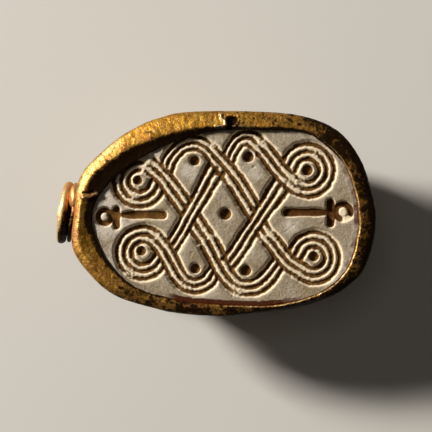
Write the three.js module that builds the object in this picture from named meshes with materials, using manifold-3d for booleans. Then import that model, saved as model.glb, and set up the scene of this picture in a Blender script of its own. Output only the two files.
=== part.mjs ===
// Scarab seal in a gold mount, lying on the beetle's back with the engraved base upward.
// Millimetres, +Z up. X runs along the seal, the beetle's head and the wire collar at -X.
import * as THREE from 'three';
import { mergeVertices } from 'three/addons/utils/BufferGeometryUtils.js';
import Module from 'manifold-3d';

const wasm = await Module();
wasm.setup();

// ---------------------------------------------------------------- heights
const FACE_Z = 8.0;            // engraved base of the stone
const CHAMFER = 0.22;          // worn bevel round the base, under the gold lip
const PLINTH_Z = 6.45;         // lower edge of the flat slab the beetle stands on
const BACK_Z = 4.75;           // rim of the domed back
const FLAT_SPOT = 0.19;        // share of the back worn flat where the seal rests
const BORE_Z = 4.6;            // height of the hole drilled from end to end
const BORE_R = 0.8;
const AROUND = 60;             // facets round the outline

// ---------------------------------------------------------------- outlines
// The hammered mount is an uneven egg, blunt to the right and cornered low on the left.
const MOUNT_OUTLINE = [
  [10.35, 0.0], [9.95, 1.95], [9.2, 3.95], [7.75, 5.72], [5.4, 6.72], [2.1, 7.05],
  [-2.3, 7.04], [-4.55, 6.63], [-6.35, 5.87], [-8.2, 4.55], [-10.0, 2.6], [-10.42, 0.1],
  [-10.5, -2.45], [-8.85, -4.68], [-7.3, -5.75], [-5.15, -6.42], [-3.5, -6.8], [-1.2, -7.0],
  [0.5, -7.0], [3.75, -6.6], [6.25, -6.0], [7.9, -5.35], [9.4, -4.0], [10.15, -2.0],
];
const LIP_OUTLINE = [
  [9.12, 0.0], [8.95, 1.3], [8.1, 3.5], [5.85, 5.45], [2.85, 5.78], [-1.35, 5.62],
  [-5.35, 4.15], [-8.05, 2.05], [-9.05, 0.0], [-8.75, -1.7], [-7.8, -3.5], [-6.1, -5.0],
  [-3.3, -5.9], [0.6, -6.27], [3.75, -6.18], [6.45, -5.43], [8.35, -3.8], [9.1, -1.3],
];

// ---------------------------------------------------------------- engraving
const GROOVE_SHARE = 0.40;     // half width of one groove, as a share of the spacing
const GROOVE_DEPTH = 0.30;
const TURN = 21;               // degrees a curved groove turns before its next facet

// Each cord is three grooves cut side by side; a station is [x, y, spacing of the grooves].
function coil(x, y, radius, from, to, spacing = 0.53) {
  const count = Math.round(Math.abs(to - from) / 22);
  return Array.from({ length: count + 1 }, (_, i) => {
    const a = THREE.MathUtils.degToRad(from + (to - from) * i / count);
    return [x + radius * Math.cos(a), y + radius * Math.sin(a), spacing];
  });
}
const CORDS = {
  coil_upper_left: [...coil(-5.93, 2.28, 1.27, -21, -310),
    [-4.55, 2.77, 0.5], [-4.0, 2.16, 0.5], [-3.45, 1.41, 0.52], [-2.83, 0.59, 0.54]],
  loop_top_left: [[-4.0, 3.3, 0.42], [-3.85, 3.7, 0.42], [-3.5, 4.2, 0.42], [-3.05, 4.62, 0.43],
    [-2.45, 4.86, 0.44], [-1.85, 4.84, 0.44], [-1.35, 4.6, 0.44], [-0.95, 4.22, 0.46],
    [-0.64, 3.82, 0.5], [-0.2, 3.35, 0.54], [0.74, 2.15, 0.55], [1.25, 1.31, 0.55],
    [1.85, 0.38, 0.55]],
  loop_top_right: [[0.25, 3.95, 0.42], [0.4, 4.3, 0.42], [0.77, 4.87, 0.42], [1.1, 5.13, 0.44],
    [1.49, 5.23, 0.46], [1.87, 5.14, 0.48], [2.25, 4.8, 0.5], [2.68, 4.37, 0.5],
    [3.2, 3.71, 0.5], [3.69, 3.06, 0.5], [4.25, 2.47, 0.5], [4.75, 2.03, 0.52],
    ...coil(5.67, 3.01, 1.3, 262, 522, 0.51)],
  loop_bottom_right: [[-1.97, -0.79, 0.56], [-1.69, -1.21, 0.57], [-1.15, -1.99, 0.57],
    [-0.71, -2.81, 0.56], [-0.26, -3.73, 0.53], [0.15, -4.33, 0.5], [0.62, -4.83, 0.48],
    [1.15, -5.08, 0.46], [1.6, -5.1, 0.46], [2.1, -5.0, 0.48], [2.6, -4.7, 0.5],
    [3.1, -4.18, 0.48], [3.6, -3.5, 0.45]],
  coil_lower_right: [[2.5, -0.98, 0.46], [2.78, -1.42, 0.48], [3.33, -2.03, 0.5],
    [3.83, -2.72, 0.5], [4.38, -3.35, 0.5], [4.95, -3.78, 0.5],
    ...coil(6.1, -3.01, 1.25, 225, 520, 0.5)],
  coil_lower_left: [...coil(-5.7, -2.68, 1.28, -30, -330, 0.51),
    [-4.31, -2.36, 0.5], [-4.1, -2.67, 0.5], [-3.73, -3.38, 0.5], [-3.32, -4.13, 0.48],
    [-2.88, -4.67, 0.46], [-2.34, -4.95, 0.45], [-1.89, -4.95, 0.45], [-1.48, -4.81, 0.45],
    [-1.15, -4.55, 0.45], [-0.85, -4.1, 0.42]],
  bar_left: [[-3.68, -2.17, 0.44], [-3.11, -1.28, 0.43], [-2.64, -0.42, 0.43],
    [-2.25, 0.27, 0.44], [-1.76, 1.12, 0.47], [-1.31, 1.97, 0.51], [-0.9, 2.7, 0.55],
    [-0.6, 3.15, 0.56]],
  bar_right: [[0.2, -3.38, 0.48], [0.83, -2.57, 0.48], [1.44, -1.58, 0.47], [2.0, -0.75, 0.45],
    [2.4, -0.12, 0.45], [2.95, 0.7, 0.49], [3.44, 1.42, 0.55], [3.86, 2.02, 0.58]],
};
// Drilled dots: [x, y, radius].
const DOTS = [
  [0, 0, 0.40], [-6.05, 2.32, 0.30], [5.65, 3.02, 0.37], [-5.8, -2.55, 0.32], [6.1, -2.93, 0.33],
  [-2.12, 3.68, 0.34], [1.58, 3.94, 0.37], [-2.08, -3.77, 0.34], [1.4, -3.9, 0.37],
];
const DOT_DEPTH = 0.33;
// Looped crosses at the two ends, lying on their sides with the loop outward. On the left one
// the loop and the bar have run together.
const LOOPED_CROSSES = [
  { side: 1, stem: [3.98, 7.0], y: 0.1, bar: [7.22, 1.05, -0.93], loop: [8.12, 0.13], ring: 0.52 },
  { side: -1, stem: [4.05, 7.0], y: -0.07, bar: [7.52, 0.55, -1.06], loop: [8.33, -0.19], ring: 0.44 },
];
const MERGED = { side: -1, from: 7.95, to: 7.5, y: -0.07, half: 0.42 };
const CROSS_HALF = 0.28;
const CROSS_DEPTH = 0.23;
const BAR_HALF = 0.27;
const LOOP_HALF = 0.25;

// ---------------------------------------------------------------- mount and collar
const BAND_Z = 6.35;           // lower edge of the gold band
const SHEET = 0.32;            // thickness of the sheet gold
const CLEAR = 0.03;            // daylight left between neighbouring pieces
const TONGUE_HALF = 1.75;      // tongue of sheet behind the collar
const TONGUE_X = [-10.08, -9.8];
const COLLAR_Y = 0.1;
// Turns of wire, bent out of square: the leans are shifts along X for each mm up or down in Y.
const COLLAR_TURNS = [
  { x: -11.37, ring: 1.84, wire: 0.33, above: 0.24, below: 0.045 },
  { x: -10.57, ring: 1.95, wire: 0.14, above: 0.05, below: 0.19 },
];
const SLEEVE_R = [1.28, 1.62];
const SLEEVE_X = [-11.3, -10.11];

// ---------------------------------------------------------------- helpers
const polar = (x, y) => [Math.atan2(y, x), Math.hypot(x, y)];
// Radius of a smooth closed outline in a given direction from the centre.
function outline(points) {
  const curve = new THREE.CatmullRomCurve3(points.map(([x, y]) => new THREE.Vector3(x, y, 0)), true);
  const table = curve.getPoints(720).slice(0, 720).map((p) => polar(p.x, p.y));
  table.sort((a, b) => a[0] - b[0]);
  return (angle) => {
    const a = Math.atan2(Math.sin(angle), Math.cos(angle));
    let i = table.findIndex((entry) => entry[0] >= a);
    if (i < 0) i = 0;
    const [a1, r1] = table[i];
    const [a0, r0] = table[(i + table.length - 1) % table.length];
    const span = THREE.MathUtils.euclideanModulo(a1 - a0, 2 * Math.PI);
    return r0 + (r1 - r0) * THREE.MathUtils.euclideanModulo(a - a0, 2 * Math.PI) / span;
  };
}
const mountRadius = outline(MOUNT_OUTLINE);
const lipRadius = outline(LIP_OUTLINE);
const goldWidth = (a) => mountRadius(a) - lipRadius(a);
const stoneRadius = (a) => lipRadius(a) + 0.48 * goldWidth(a);
const angles = Array.from({ length: AROUND }, (_, i) => 2 * Math.PI * i / AROUND);

function solid(positions, triangles) {
  const geometry = new THREE.BufferGeometry();
  geometry.setAttribute('position', new THREE.Float32BufferAttribute(positions.flat(), 3));
  geometry.setIndex(triangles.flat());
  return geometry;
}
function toManifold(geometry) {
  const bare = geometry.clone();
  bare.deleteAttribute('normal');
  bare.deleteAttribute('uv');
  const merged = mergeVertices(bare, 1e-4);
  return new wasm.Manifold(new wasm.Mesh({
    numProp: 3,
    vertProperties: new Float32Array(merged.attributes.position.array),
    triVerts: new Uint32Array(merged.index.array),
  }));
}
function toGeometry(manifold) {
  const mesh = manifold.getMesh();
  const geometry = new THREE.BufferGeometry();
  geometry.setAttribute('position', new THREE.Float32BufferAttribute(mesh.vertProperties, 3));
  geometry.setIndex(Array.from(mesh.triVerts));
  geometry.computeVertexNormals();
  return geometry;
}
// Skin over stacked rings of equal count, top ring first, closed at both ends.
function loft(rings) {
  const n = rings[0].length;
  const positions = rings.flat();
  const triangles = [];
  for (let k = 0; k + 1 < rings.length; k++) {
    for (let i = 0; i < n; i++) {
      const j = (i + 1) % n;
      const [a, b, c, d] = [k * n + i, k * n + j, (k + 1) * n + i, (k + 1) * n + j];
      triangles.push([a, c, b], [b, c, d]);
    }
  }
  const top = positions.length;
  const middle = (ring) => [0, 0, ring[0][2]];
  positions.push(middle(rings[0]), middle(rings[rings.length - 1]));
  const last = (rings.length - 1) * n;
  for (let i = 0; i < n; i++) {
    const j = (i + 1) % n;
    triangles.push([top, i, j], [top + 1, last + j, last + i]);
  }
  return solid(positions, triangles);
}
// Skin of a closed hoop made of closed cross-sections.
function hoop(sections) {
  const n = sections.length;
  const m = sections[0].length;
  const triangles = [];
  for (let i = 0; i < n; i++) {
    for (let k = 0; k < m; k++) {
      const [a, b] = [i * m + k, ((i + 1) % n) * m + k];
      const [c, d] = [i * m + (k + 1) % m, ((i + 1) % n) * m + (k + 1) % m];
      triangles.push([a, c, b], [b, c, d]);
    }
  }
  return solid(sections.flat(), triangles);
}
// V-shaped blade that follows stations { at, out, half, depth } along a surface.
const LIFT = 0.12;
function blade(stations) {
  const positions = [];
  stations.forEach((s, i) => {
    const before = stations[Math.max(0, i - 1)].at;
    const after = stations[Math.min(stations.length - 1, i + 1)].at;
    const along = new THREE.Vector3().subVectors(after, before).normalize();
    const across = new THREE.Vector3().crossVectors(s.out, along).normalize();
    const wide = s.half * (1 + LIFT / s.depth);
    const high = s.at.clone().addScaledVector(s.out, LIFT);
    positions.push(high.clone().addScaledVector(across, wide).toArray());
    positions.push(high.clone().addScaledVector(across, -wide).toArray());
    positions.push(s.at.clone().addScaledVector(s.out, -s.depth).toArray());
  });
  const triangles = [[0, 2, 1]];
  for (let i = 0; i + 1 < stations.length; i++) {
    for (let k = 0; k < 3; k++) {
      const [a, b] = [3 * i + k, 3 * i + (k + 1) % 3];
      triangles.push([a, b, b + 3], [a, b + 3, a + 3]);
    }
  }
  const e = 3 * (stations.length - 1);
  triangles.push([e, e + 1, e + 2]);
  return toManifold(solid(positions, triangles));
}
const UP = new THREE.Vector3(0, 0, 1);

// ---------------------------------------------------------------- the stone
// Height of the domed back at a share of its outline: 0 at the middle, 1 at its rim.
const domeZ = (share) => {
  const s = Math.max(0, (share - FLAT_SPOT) / (1 - FLAT_SPOT));
  return BACK_Z * (1 - Math.pow(1 - Math.pow(s, 2.1), 0.6));
};
const backRadius = (a) => stoneRadius(a) - 0.55 - 0.15 * Math.abs(Math.sin(a));
const legRadius = (a) => backRadius(a) - 0.22;
const ring = (radius, z) => angles.map((a) => [radius(a) * Math.cos(a), radius(a) * Math.sin(a), z]);
const rings = [
  ring((a) => stoneRadius(a) - CHAMFER * 0.9, FACE_Z),
  ring(stoneRadius, FACE_Z - CHAMFER),
  ring((a) => stoneRadius(a) - 0.04, PLINTH_Z),
  ring((a) => legRadius(a) - 0.1, PLINTH_Z - 0.14),
  ring(legRadius, PLINTH_Z - 0.7),
  ring(legRadius, BACK_Z + 0.18),
  ring(backRadius, BACK_Z),
];
for (const share of [0.98, 0.93, 0.85, 0.74, 0.6, 0.44, 0.3, FLAT_SPOT]) {
  rings.push(ring((a) => backRadius(a) * share, domeZ(share)));
}
let stone = toManifold(loft(rings));

// Cords, cut as three parallel grooves each; the ends run out shallow.
// Facet ends along a smooth path: one wherever the heading has turned by TURN, and at both ends.
function facetEnds(points) {
  const curve = new THREE.CatmullRomCurve3(points.map((p) => new THREE.Vector3(...p)), false);
  const fine = curve.getSpacedPoints(240);
  const heading = (i) => Math.atan2(fine[i + 1].y - fine[i].y, fine[i + 1].x - fine[i].x);
  const kept = [0];
  let last = heading(0);
  for (let i = 1; i + 1 < fine.length; i++) {
    const turned = heading(i) - last;
    const angle = Math.abs(Math.atan2(Math.sin(turned), Math.cos(turned)));
    if (THREE.MathUtils.radToDeg(angle) > TURN && fine.length - i > 5) {
      kept.push(i);
      last = heading(i);
    }
  }
  kept.push(fine.length - 1);
  return kept.map((i) => fine[i]);
}
function cordGroove(points, k) {
  const path = facetEnds(points);
  const stations = path.map((p, i) => {
    const a = path[Math.max(0, i - 1)];
    const b = path[Math.min(path.length - 1, i + 1)];
    const t = new THREE.Vector3(b.x - a.x, b.y - a.y, 0).normalize();
    const end = Math.min(i, path.length - 1 - i) === 0 ? 0.6 : 1;
    return {
      at: new THREE.Vector3(p.x - t.y * k * p.z, p.y + t.x * k * p.z, FACE_Z),
      out: UP,
      half: GROOVE_SHARE * p.z * end,
      depth: GROOVE_DEPTH * end,
    };
  });
  return blade(stations);
}
for (const points of Object.values(CORDS)) {
  for (const k of [-1, 0, 1]) {
    stone = stone.subtract(cordGroove(points, k));
  }
}
for (const [x, y, r] of DOTS) {
  const drill = new THREE.CylinderGeometry(r, r * 0.8, DOT_DEPTH + 0.1, 14);
  drill.rotateX(Math.PI / 2).translate(x, y, FACE_Z - DOT_DEPTH / 2 + 0.05);
  stone = stone.subtract(toManifold(drill));
}
function straight(x0, y0, x1, y1, half, depth) {
  return blade([[x0, y0], [x1, y1]].map(([x, y]) => ({
    at: new THREE.Vector3(x, y, FACE_Z), out: UP, half, depth,
  })));
}
for (const cross of LOOPED_CROSSES) {
  const s = cross.side;
  const [bar, high, low] = cross.bar;
  const [cx, cy] = cross.loop;
  const around = Array.from({ length: 12 }, (_, i) => {
    const a = 2 * Math.PI * i / 11.3 + (s > 0 ? Math.PI : 0);
    const [x, y] = [s * cx + cross.ring * Math.cos(a), cy + cross.ring * Math.sin(a)];
    return { at: new THREE.Vector3(x, y, FACE_Z), out: UP, half: LOOP_HALF, depth: CROSS_DEPTH };
  });
  stone = stone
    .subtract(straight(s * cross.stem[0], cross.y, s * cross.stem[1], cross.y, CROSS_HALF, CROSS_DEPTH))
    .subtract(straight(s * bar, low, s * bar, high, BAR_HALF, CROSS_DEPTH))
    .subtract(blade(around));
  if (s === MERGED.side) {
    const [x0, x1] = [s * MERGED.from, s * MERGED.to];
    stone = stone.subtract(straight(x0, MERGED.y, x1, MERGED.y, MERGED.half, CROSS_DEPTH));
  }
}

// Hole drilled from end to end, then the beetle's head, wing cases and legs.
const bore = new THREE.CylinderGeometry(BORE_R, BORE_R, 30, 20);
bore.rotateZ(Math.PI / 2).translate(0, 0, BORE_Z);
stone = stone.subtract(toManifold(bore));

// Point on the domed back under plan position (x, y), with its outward direction.
function onBack(x, y) {
  const at = (u, v) => {
    const [a, r] = polar(u, v);
    return new THREE.Vector3(u, v, domeZ(Math.min(0.999, r / backRadius(a))));
  };
  const p = at(x, y);
  const du = at(x + 0.05, y).sub(p);
  const dv = at(x, y + 0.05).sub(p);
  return { at: p, out: new THREE.Vector3().crossVectors(dv, du).normalize() };
}
function backLine(plan, half, depth, count = 12) {
  const curve = new THREE.CatmullRomCurve3(plan.map(([x, y]) => new THREE.Vector3(x, y, 0)), false);
  return blade(curve.getSpacedPoints(count).map((p) => ({ ...onBack(p.x, p.y), half, depth })));
}
const BACK_LINES = [
  [[-3.7, 5.0], [-2.95, 2.6], [-2.75, 0], [-2.95, -2.6], [-3.7, -5.0]],
  [[-2.75, 0.04], [-2.35, 0.04], [-1.95, 0.04]],
  [[1.85, 0.03], [4.5, 0.02], [8.6, 0.0]],
  [[-7.35, 2.75], [-6.1, 1.5], [-5.85, 0], [-6.1, -1.5], [-7.35, -2.75]],
  [[-2.7, 3.9], [2.0, 4.75], [6.8, 3.1]],
  [[-2.7, -3.9], [2.0, -4.75], [6.8, -3.1]],
];
// The line down the back is worn away across the flat spot.
for (const plan of BACK_LINES) {
  stone = stone.subtract(backLine(plan, 0.17, 0.2));
}
// Legs: slanting cuts in the wall between slab and back.
const LEG_CUTS = [[22, 9], [48, 7], [66, 6], [92, -6], [112, -7], [132, -9], [158, -8]];
for (const side of [1, -1]) {
  for (const [degrees, slant] of LEG_CUTS) {
    const stations = [PLINTH_Z - 0.3, BACK_Z + 0.35].map((z, i) => {
      const a = side * THREE.MathUtils.degToRad(degrees + (i ? slant : -slant) / 2);
      const r = legRadius(a);
      return {
        at: new THREE.Vector3(r * Math.cos(a), r * Math.sin(a), z),
        out: new THREE.Vector3(Math.cos(a), Math.sin(a), 0), half: 0.2, depth: 0.28,
      };
    });
    stone = stone.subtract(blade(stations));
  }
}

// ---------------------------------------------------------------- the gold mount
// Crest of the rolled rim: direction in degrees, share of the way from the lip to the outside,
// height over the stone's flat face. It stands outward and high at upper left, inward and low
// elsewhere.
const RIM_CREST = [
  [-180, 0.62, 0.55], [-150, 0.54, 0.46], [-120, 0.36, 0.34], [-90, 0.14, 0.33],
  [-45, 0.1, 0.33], [0, 0.1, 0.35], [40, 0.14, 0.4], [70, 0.16, 0.48], [90, 0.16, 0.55],
  [110, 0.18, 0.56], [130, 0.2, 0.54], [145, 0.29, 0.46], [158, 0.46, 0.55], [180, 0.62, 0.55],
];
function roundRim(a, column) {
  const degrees = THREE.MathUtils.radToDeg(Math.atan2(Math.sin(a), Math.cos(a)));
  const k = Math.max(1, RIM_CREST.findIndex((row) => row[0] >= degrees));
  const [before, after] = [RIM_CREST[k - 1], RIM_CREST[k]];
  const t = THREE.MathUtils.smoothstep(degrees, before[0], after[0]);
  return before[column] + (after[column] - before[column]) * t;
}
const crestShare = (a) => roundRim(a, 1);
const crestHeight = (a) => roundRim(a, 2);
function mountSection(a, grow = 0) {
  const lip = lipRadius(a) - grow;
  const outer = mountRadius(a) + grow;
  const tall = crestHeight(a);
  const wall = stoneRadius(a) + CLEAR - grow;
  const crest = lip + (outer - lip) * crestShare(a);
  const top = FACE_Z + tall + grow;
  const under = FACE_Z + CLEAR - grow;
  const skin = stoneRadius(a) + CLEAR + SHEET + grow;
  const profile = [
    [lip, under], [lip + 0.02, under + 0.12], [lip + 0.45 * (crest - lip), FACE_Z + 0.6 * tall + grow],
    [crest, top], [crest + 0.5 * (outer - crest), FACE_Z + 0.72 * tall + grow],
    [outer - 0.04, FACE_Z + 0.02], [outer, FACE_Z - 0.3], [Math.max(outer - 0.12, skin), FACE_Z - 0.62],
    [skin, FACE_Z - 1.0], [skin, BAND_Z - grow], [wall, BAND_Z - grow],
    [wall, FACE_Z - CHAMFER], [wall - CHAMFER * 0.9, under],
  ];
  return profile.map(([r, z]) => [r * Math.cos(a), r * Math.sin(a), z]);
}
function tongue(grow = 0) {
  const plate = new THREE.Shape();
  const half = TONGUE_HALF + grow;
  plate.moveTo(-half, BAND_Z + 0.5);
  plate.lineTo(-half, BORE_Z);
  plate.absarc(0, BORE_Z, half, Math.PI, 2 * Math.PI, false);
  plate.lineTo(half, BAND_Z + 0.5);
  plate.closePath();
  const hole = new THREE.Path();
  hole.absarc(0, BORE_Z, BORE_R + 0.15, 0, 2 * Math.PI, true);
  plate.holes.push(hole);
  const geometry = new THREE.ExtrudeGeometry(plate, {
    depth: TONGUE_X[1] - TONGUE_X[0] + 2 * grow, bevelEnabled: false, curveSegments: 10,
  });
  geometry.rotateX(Math.PI / 2).rotateZ(Math.PI / 2).translate(TONGUE_X[0] - grow, COLLAR_Y, 0);
  return toManifold(geometry);
}
const mountBody = (grow) => toManifold(hoop(angles.map((a) => mountSection(a, grow)))).add(tongue(grow));
const mount = mountBody(0);

// ---------------------------------------------------------------- the wire collar
function tube(x0, x1, inner, outer) {
  const profile = [[inner, x0], [outer, x0], [outer, x1], [inner, x1], [inner, x0]];
  const geometry = new THREE.LatheGeometry(profile.map(([r, h]) => new THREE.Vector2(r, h)), 24);
  return toManifold(geometry.rotateZ(-Math.PI / 2));
}
let collar = tube(SLEEVE_X[0], SLEEVE_X[1], SLEEVE_R[0], SLEEVE_R[1]);
for (const turn of COLLAR_TURNS) {
  const wire = new THREE.TorusGeometry(turn.ring, turn.wire, 7, 24);
  const bent = toManifold(wire.rotateY(Math.PI / 2)).warp((p) => {
    p[0] += turn.x + turn.above * Math.max(p[1], 0) + turn.below * Math.min(p[1], 0);
  });
  collar = collar.add(bent);
}
collar = collar.translate(0, COLLAR_Y, BORE_Z);
const solder = new THREE.IcosahedronGeometry(1, 1);
solder.scale(0.42, 0.85, 0.62).translate(-10.45, 1.15, BORE_Z + 1.65);
collar = collar.add(toManifold(solder)).subtract(mountBody(CLEAR));

// ---------------------------------------------------------------- group
const group = new THREE.Group();
group.name = 'scarab_seal';
function piece(name, manifold, material) {
  const mesh = new THREE.Mesh(toGeometry(manifold), material);
  mesh.name = name;
  group.add(mesh);
}
piece('scarab', stone, new THREE.MeshStandardMaterial({ name: 'steatite', color: 0xa89f90, roughness: 0.6 }));
piece('gold_mount', mount, new THREE.MeshStandardMaterial({
  name: 'gold', color: 0xc8963c, roughness: 0.35, metalness: 1,
}));
piece('wire_collar', collar, new THREE.MeshStandardMaterial({
  name: 'gold_wire', color: 0xd09c40, roughness: 0.3, metalness: 1,
}));

export default group;
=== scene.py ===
"""Scarab seal of glazed steatite in a gold mount, lying on the beetle's back.

Sizes are in millimetres in the seal's own frame and become metres when a mesh is made.
+Z is out of the engraved base, -X is the end with the beetle's head and the wire collar.
"""

import math

import bpy
import numpy as np
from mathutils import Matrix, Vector


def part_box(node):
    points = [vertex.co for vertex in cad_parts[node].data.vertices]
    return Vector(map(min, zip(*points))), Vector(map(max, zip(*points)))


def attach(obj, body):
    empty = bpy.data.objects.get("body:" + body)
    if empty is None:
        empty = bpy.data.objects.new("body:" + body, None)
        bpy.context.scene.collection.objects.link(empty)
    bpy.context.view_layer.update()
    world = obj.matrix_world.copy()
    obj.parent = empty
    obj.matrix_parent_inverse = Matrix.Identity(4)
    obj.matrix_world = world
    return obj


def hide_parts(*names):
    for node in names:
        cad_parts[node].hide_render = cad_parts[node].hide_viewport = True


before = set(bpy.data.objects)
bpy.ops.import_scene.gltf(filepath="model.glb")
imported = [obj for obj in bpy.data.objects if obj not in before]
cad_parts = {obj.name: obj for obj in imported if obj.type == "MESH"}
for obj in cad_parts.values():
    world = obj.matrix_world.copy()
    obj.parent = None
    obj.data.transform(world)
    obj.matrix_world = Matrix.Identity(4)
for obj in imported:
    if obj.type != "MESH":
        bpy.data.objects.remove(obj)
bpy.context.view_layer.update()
MM = 0.001

STONE_LOW, STONE_HIGH = (np.array(corner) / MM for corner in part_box("scarab"))
STONE_HALF = (STONE_HIGH[:2] - STONE_LOW[:2]) / 2

# ------------------------------------------------------------------ sizes of the stone
FACE_Z = float(STONE_HIGH[2])
CHAMFER = 0.22
CHAMFER_WIDTH = 0.25
PLINTH_Z = 6.45
BACK_Z = 4.75
FLAT_SPOT = 0.19
BORE_Z = 4.6
BORE_R = 0.8
BORE_SIDES = 48
# The stone's outline lies under the rolled rim, this share of the way from the lip outward.
STONE_SHARE = 0.48
# How far in from that outline the beetle's back begins, and how much more at its sides.
BACK_INSET = 0.55
BACK_NARROWER = 0.15
FACE_CELLS = (316, 212)
# Rows of points down the side of the slab: how far in from its outline, and height.
SLAB_ROWS = [(0.0, 7.45), (0.02, 7.0), (0.04, 6.65)]
LEG_ROWS = 12
LEG_INSET = 0.22
LEG_CUT_DEPTH = 0.26
LEG_CUT_HALF = 0.24

# ------------------------------------------------------------------ sizes of the mount
BAND_Z = 6.35
SHEET = 0.32
CLEAR = 0.03
BAND_EDGE = (0.04, 0.06)
TONGUE_HALF = 1.75
TONGUE_X = (-10.08, -9.8)
TONGUE_HOLE_R = BORE_R + 0.15
TONGUE_RINGS = 9
TONGUE_SIDES = 96

# Outside of the mount and edge of its lip, seen from above.
MOUNT_OUTLINE = [
    (10.35, 0.0), (9.95, 1.95), (9.2, 3.95), (7.75, 5.72), (5.4, 6.72), (2.1, 7.05),
    (-2.3, 7.04), (-4.55, 6.63), (-6.35, 5.87), (-8.2, 4.55), (-10.0, 2.6), (-10.42, 0.1),
    (-10.5, -2.45), (-8.85, -4.68), (-7.3, -5.75), (-5.15, -6.42), (-3.5, -6.8), (-1.2, -7.0),
    (0.5, -7.0), (3.75, -6.6), (6.25, -6.0), (7.9, -5.35), (9.4, -4.0), (10.15, -2.0),
]
LIP_OUTLINE = [
    (9.12, 0.0), (8.95, 1.3), (8.1, 3.5), (5.85, 5.45), (2.85, 5.78), (-1.35, 5.62),
    (-5.35, 4.15), (-8.05, 2.05), (-9.05, 0.0), (-8.75, -1.7), (-7.8, -3.5), (-6.1, -5.0),
    (-3.3, -5.9), (0.6, -6.27), (3.75, -6.18), (6.45, -5.43), (8.35, -3.8), (9.1, -1.3),
]

# The lip stands a little further out at the left end.
LIP_OUT = 0.12
LIP_OUT_AT = math.radians(-163)
# Crest of the rolled rim: direction in degrees, share of the way from the lip to the outside,
# height over the stone's flat face.
RIM_CREST = [
    (-180, 0.66, 0.48), (-165, 0.66, 0.39), (-150, 0.56, 0.36), (-120, 0.36, 0.32),
    (-90, 0.14, 0.33), (-45, 0.1, 0.33), (0, 0.1, 0.35), (40, 0.14, 0.4), (70, 0.16, 0.45),
    (90, 0.18, 0.5), (110, 0.26, 0.5), (130, 0.32, 0.42), (145, 0.46, 0.36), (158, 0.58, 0.44),
]
# Where painted shade darkens the rolled-in side of the rim, away from the light: direction, share
# of the way to the outside.
RIM_SHADE = [
    (-180, 0.46), (-165, 0.26), (-150, 0.12), (-130, 0.04), (-110, -0.1), (20, -0.1), (45, 0.06),
    (70, 0.11), (90, 0.16), (110, 0.26), (135, 0.36), (150, 0.54), (165, 0.63),
]
# Sections of the band round the rim, and the directions where they lie closer together.
BAND_PROFILES = 760
PIT_AT = math.radians(86.5)
FOLD_AT = math.radians(172)
# The folded flap on the left slope of the rim, and the crack beside it.
FOLD_FLAP = [(-9.8, 1.14), (-9.4, 1.22), (-8.88, 1.4)]
FOLD_CRACK = [(-9.8, 1.48), (-9.45, 1.47), (-9.1, 1.56)]
FLAP_HALF = 0.13
# Line of the painted highlight along the crest.
CREST_HIGHLIGHT = [(-10.1, 1.7), (-9.6, 2.75), (-8.9, 3.65), (-8.2, 4.3), (-7.4, 4.95)]
# A darker patch beside the torn pit: x, y, reach in x, reach in y.
DARK_PATCH = (1.25, 6.25, 0.35, 0.2)
# The torn pit in the upper rim: an oval hole, and a notch from it through the lip.
PIT_CENTRE = (0.44, 6.43)
PIT_HALF = (0.4, 0.3)
NOTCH = [(0.3, 6.4), (0.22, 5.7)]
NOTCH_HALF = 0.17
# Ridges of torn sheet round the pit in the upper rim: line, height, half width.
TORN_RIDGES = [
    ([(-0.35, 6.87), (-0.29, 6.6), (-0.1, 6.45), (0.0, 6.2), (-0.25, 6.05), (-0.65, 6.02)],
     0.16, 0.08),
    ([(-0.32, 6.86), (0.03, 6.94), (0.32, 6.87), (0.66, 6.7)], 0.1, 0.06),
    ([(0.87, 6.72), (0.87, 6.68)], 0.12, 0.06), ([(0.87, 6.4), (0.88, 6.3)], 0.1, 0.06),
    ([(0.5, 6.12), (1.2, 6.02), (2.05, 5.82)], 0.05, 0.07),
]
# Torn edges that catch the light, a painted highlight: line, half width, amount.
TEAR_HIGHLIGHTS = [
    (TORN_RIDGES[0][0], 0.1, 0.8), ([(-0.08, 6.5), (-0.02, 6.25)], 0.13, 0.8),
    (TORN_RIDGES[4][0], 0.06, 0.6),
]
# Orange tints on the gold: x, y, reach in x, reach in y, amount.
ORANGE_PATCHES = [
    (-2.6, -6.35, 0.7, 0.5, 1.0), (-10.45, -0.8, 0.28, 2.2, 1.0), (-7.2, -4.6, 0.5, 0.4, 0.6),
    (-9.5, 1.3, 0.6, 0.25, 0.8),
]

# ------------------------------------------------------------------ sizes of the collar
COLLAR_Y = 0.1
TURN_X = -11.37
# How far the thick turn of wire leans inward per millimetre above and below its middle.
WIRE_LEAN = (0.24, 0.045)
SLEEVE_R = (1.28, 1.62)
SLEEVE_X = (-11.3, -10.11)
SLEEVE_EDGE = 0.05
SOLDER_AT = (-10.47, 1.15, BORE_Z + 1.65)
SOLDER_HALF = (0.42, 0.85, 0.62)
# The run of solder painted pale as a highlight: x, y, reach in x, reach in y.
SOLDER_HIGHLIGHT = (-10.35, COLLAR_Y + 0.9, 0.3, 0.45)

# ------------------------------------------------------------------ the engraving
# Rasters of the base and the back: low corner, high corner, cell.
BASE_RASTER = ((-10.3, -7.0), (10.3, 7.0), 0.025)
BACK_RASTER = ((-9.8, -6.6), (9.8, 6.6), 0.04)
# A groove's half width as a share of the spacing, its depth and the fullness of its section.
GROOVE_SHARE = 0.62
GROOVE_DEPTH = 0.32
GROOVE_FULLNESS = 1.3
# The shallow bed that a cord's grooves lie in, and how far it reaches past them.
BED_DEPTH = 0.11
SHOULDER = 0.4
# How far a cord's ends run on under the cord that crosses them.
TAIL = 0.7
# Degrees between the stations of a coil.
COIL_STEP = 22
# Grains of wear on the base, broad, middle and fine: size and seed.
WEAR_GRAINS = ((0.2, 71), (0.13, 73), (0.08, 74))


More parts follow.
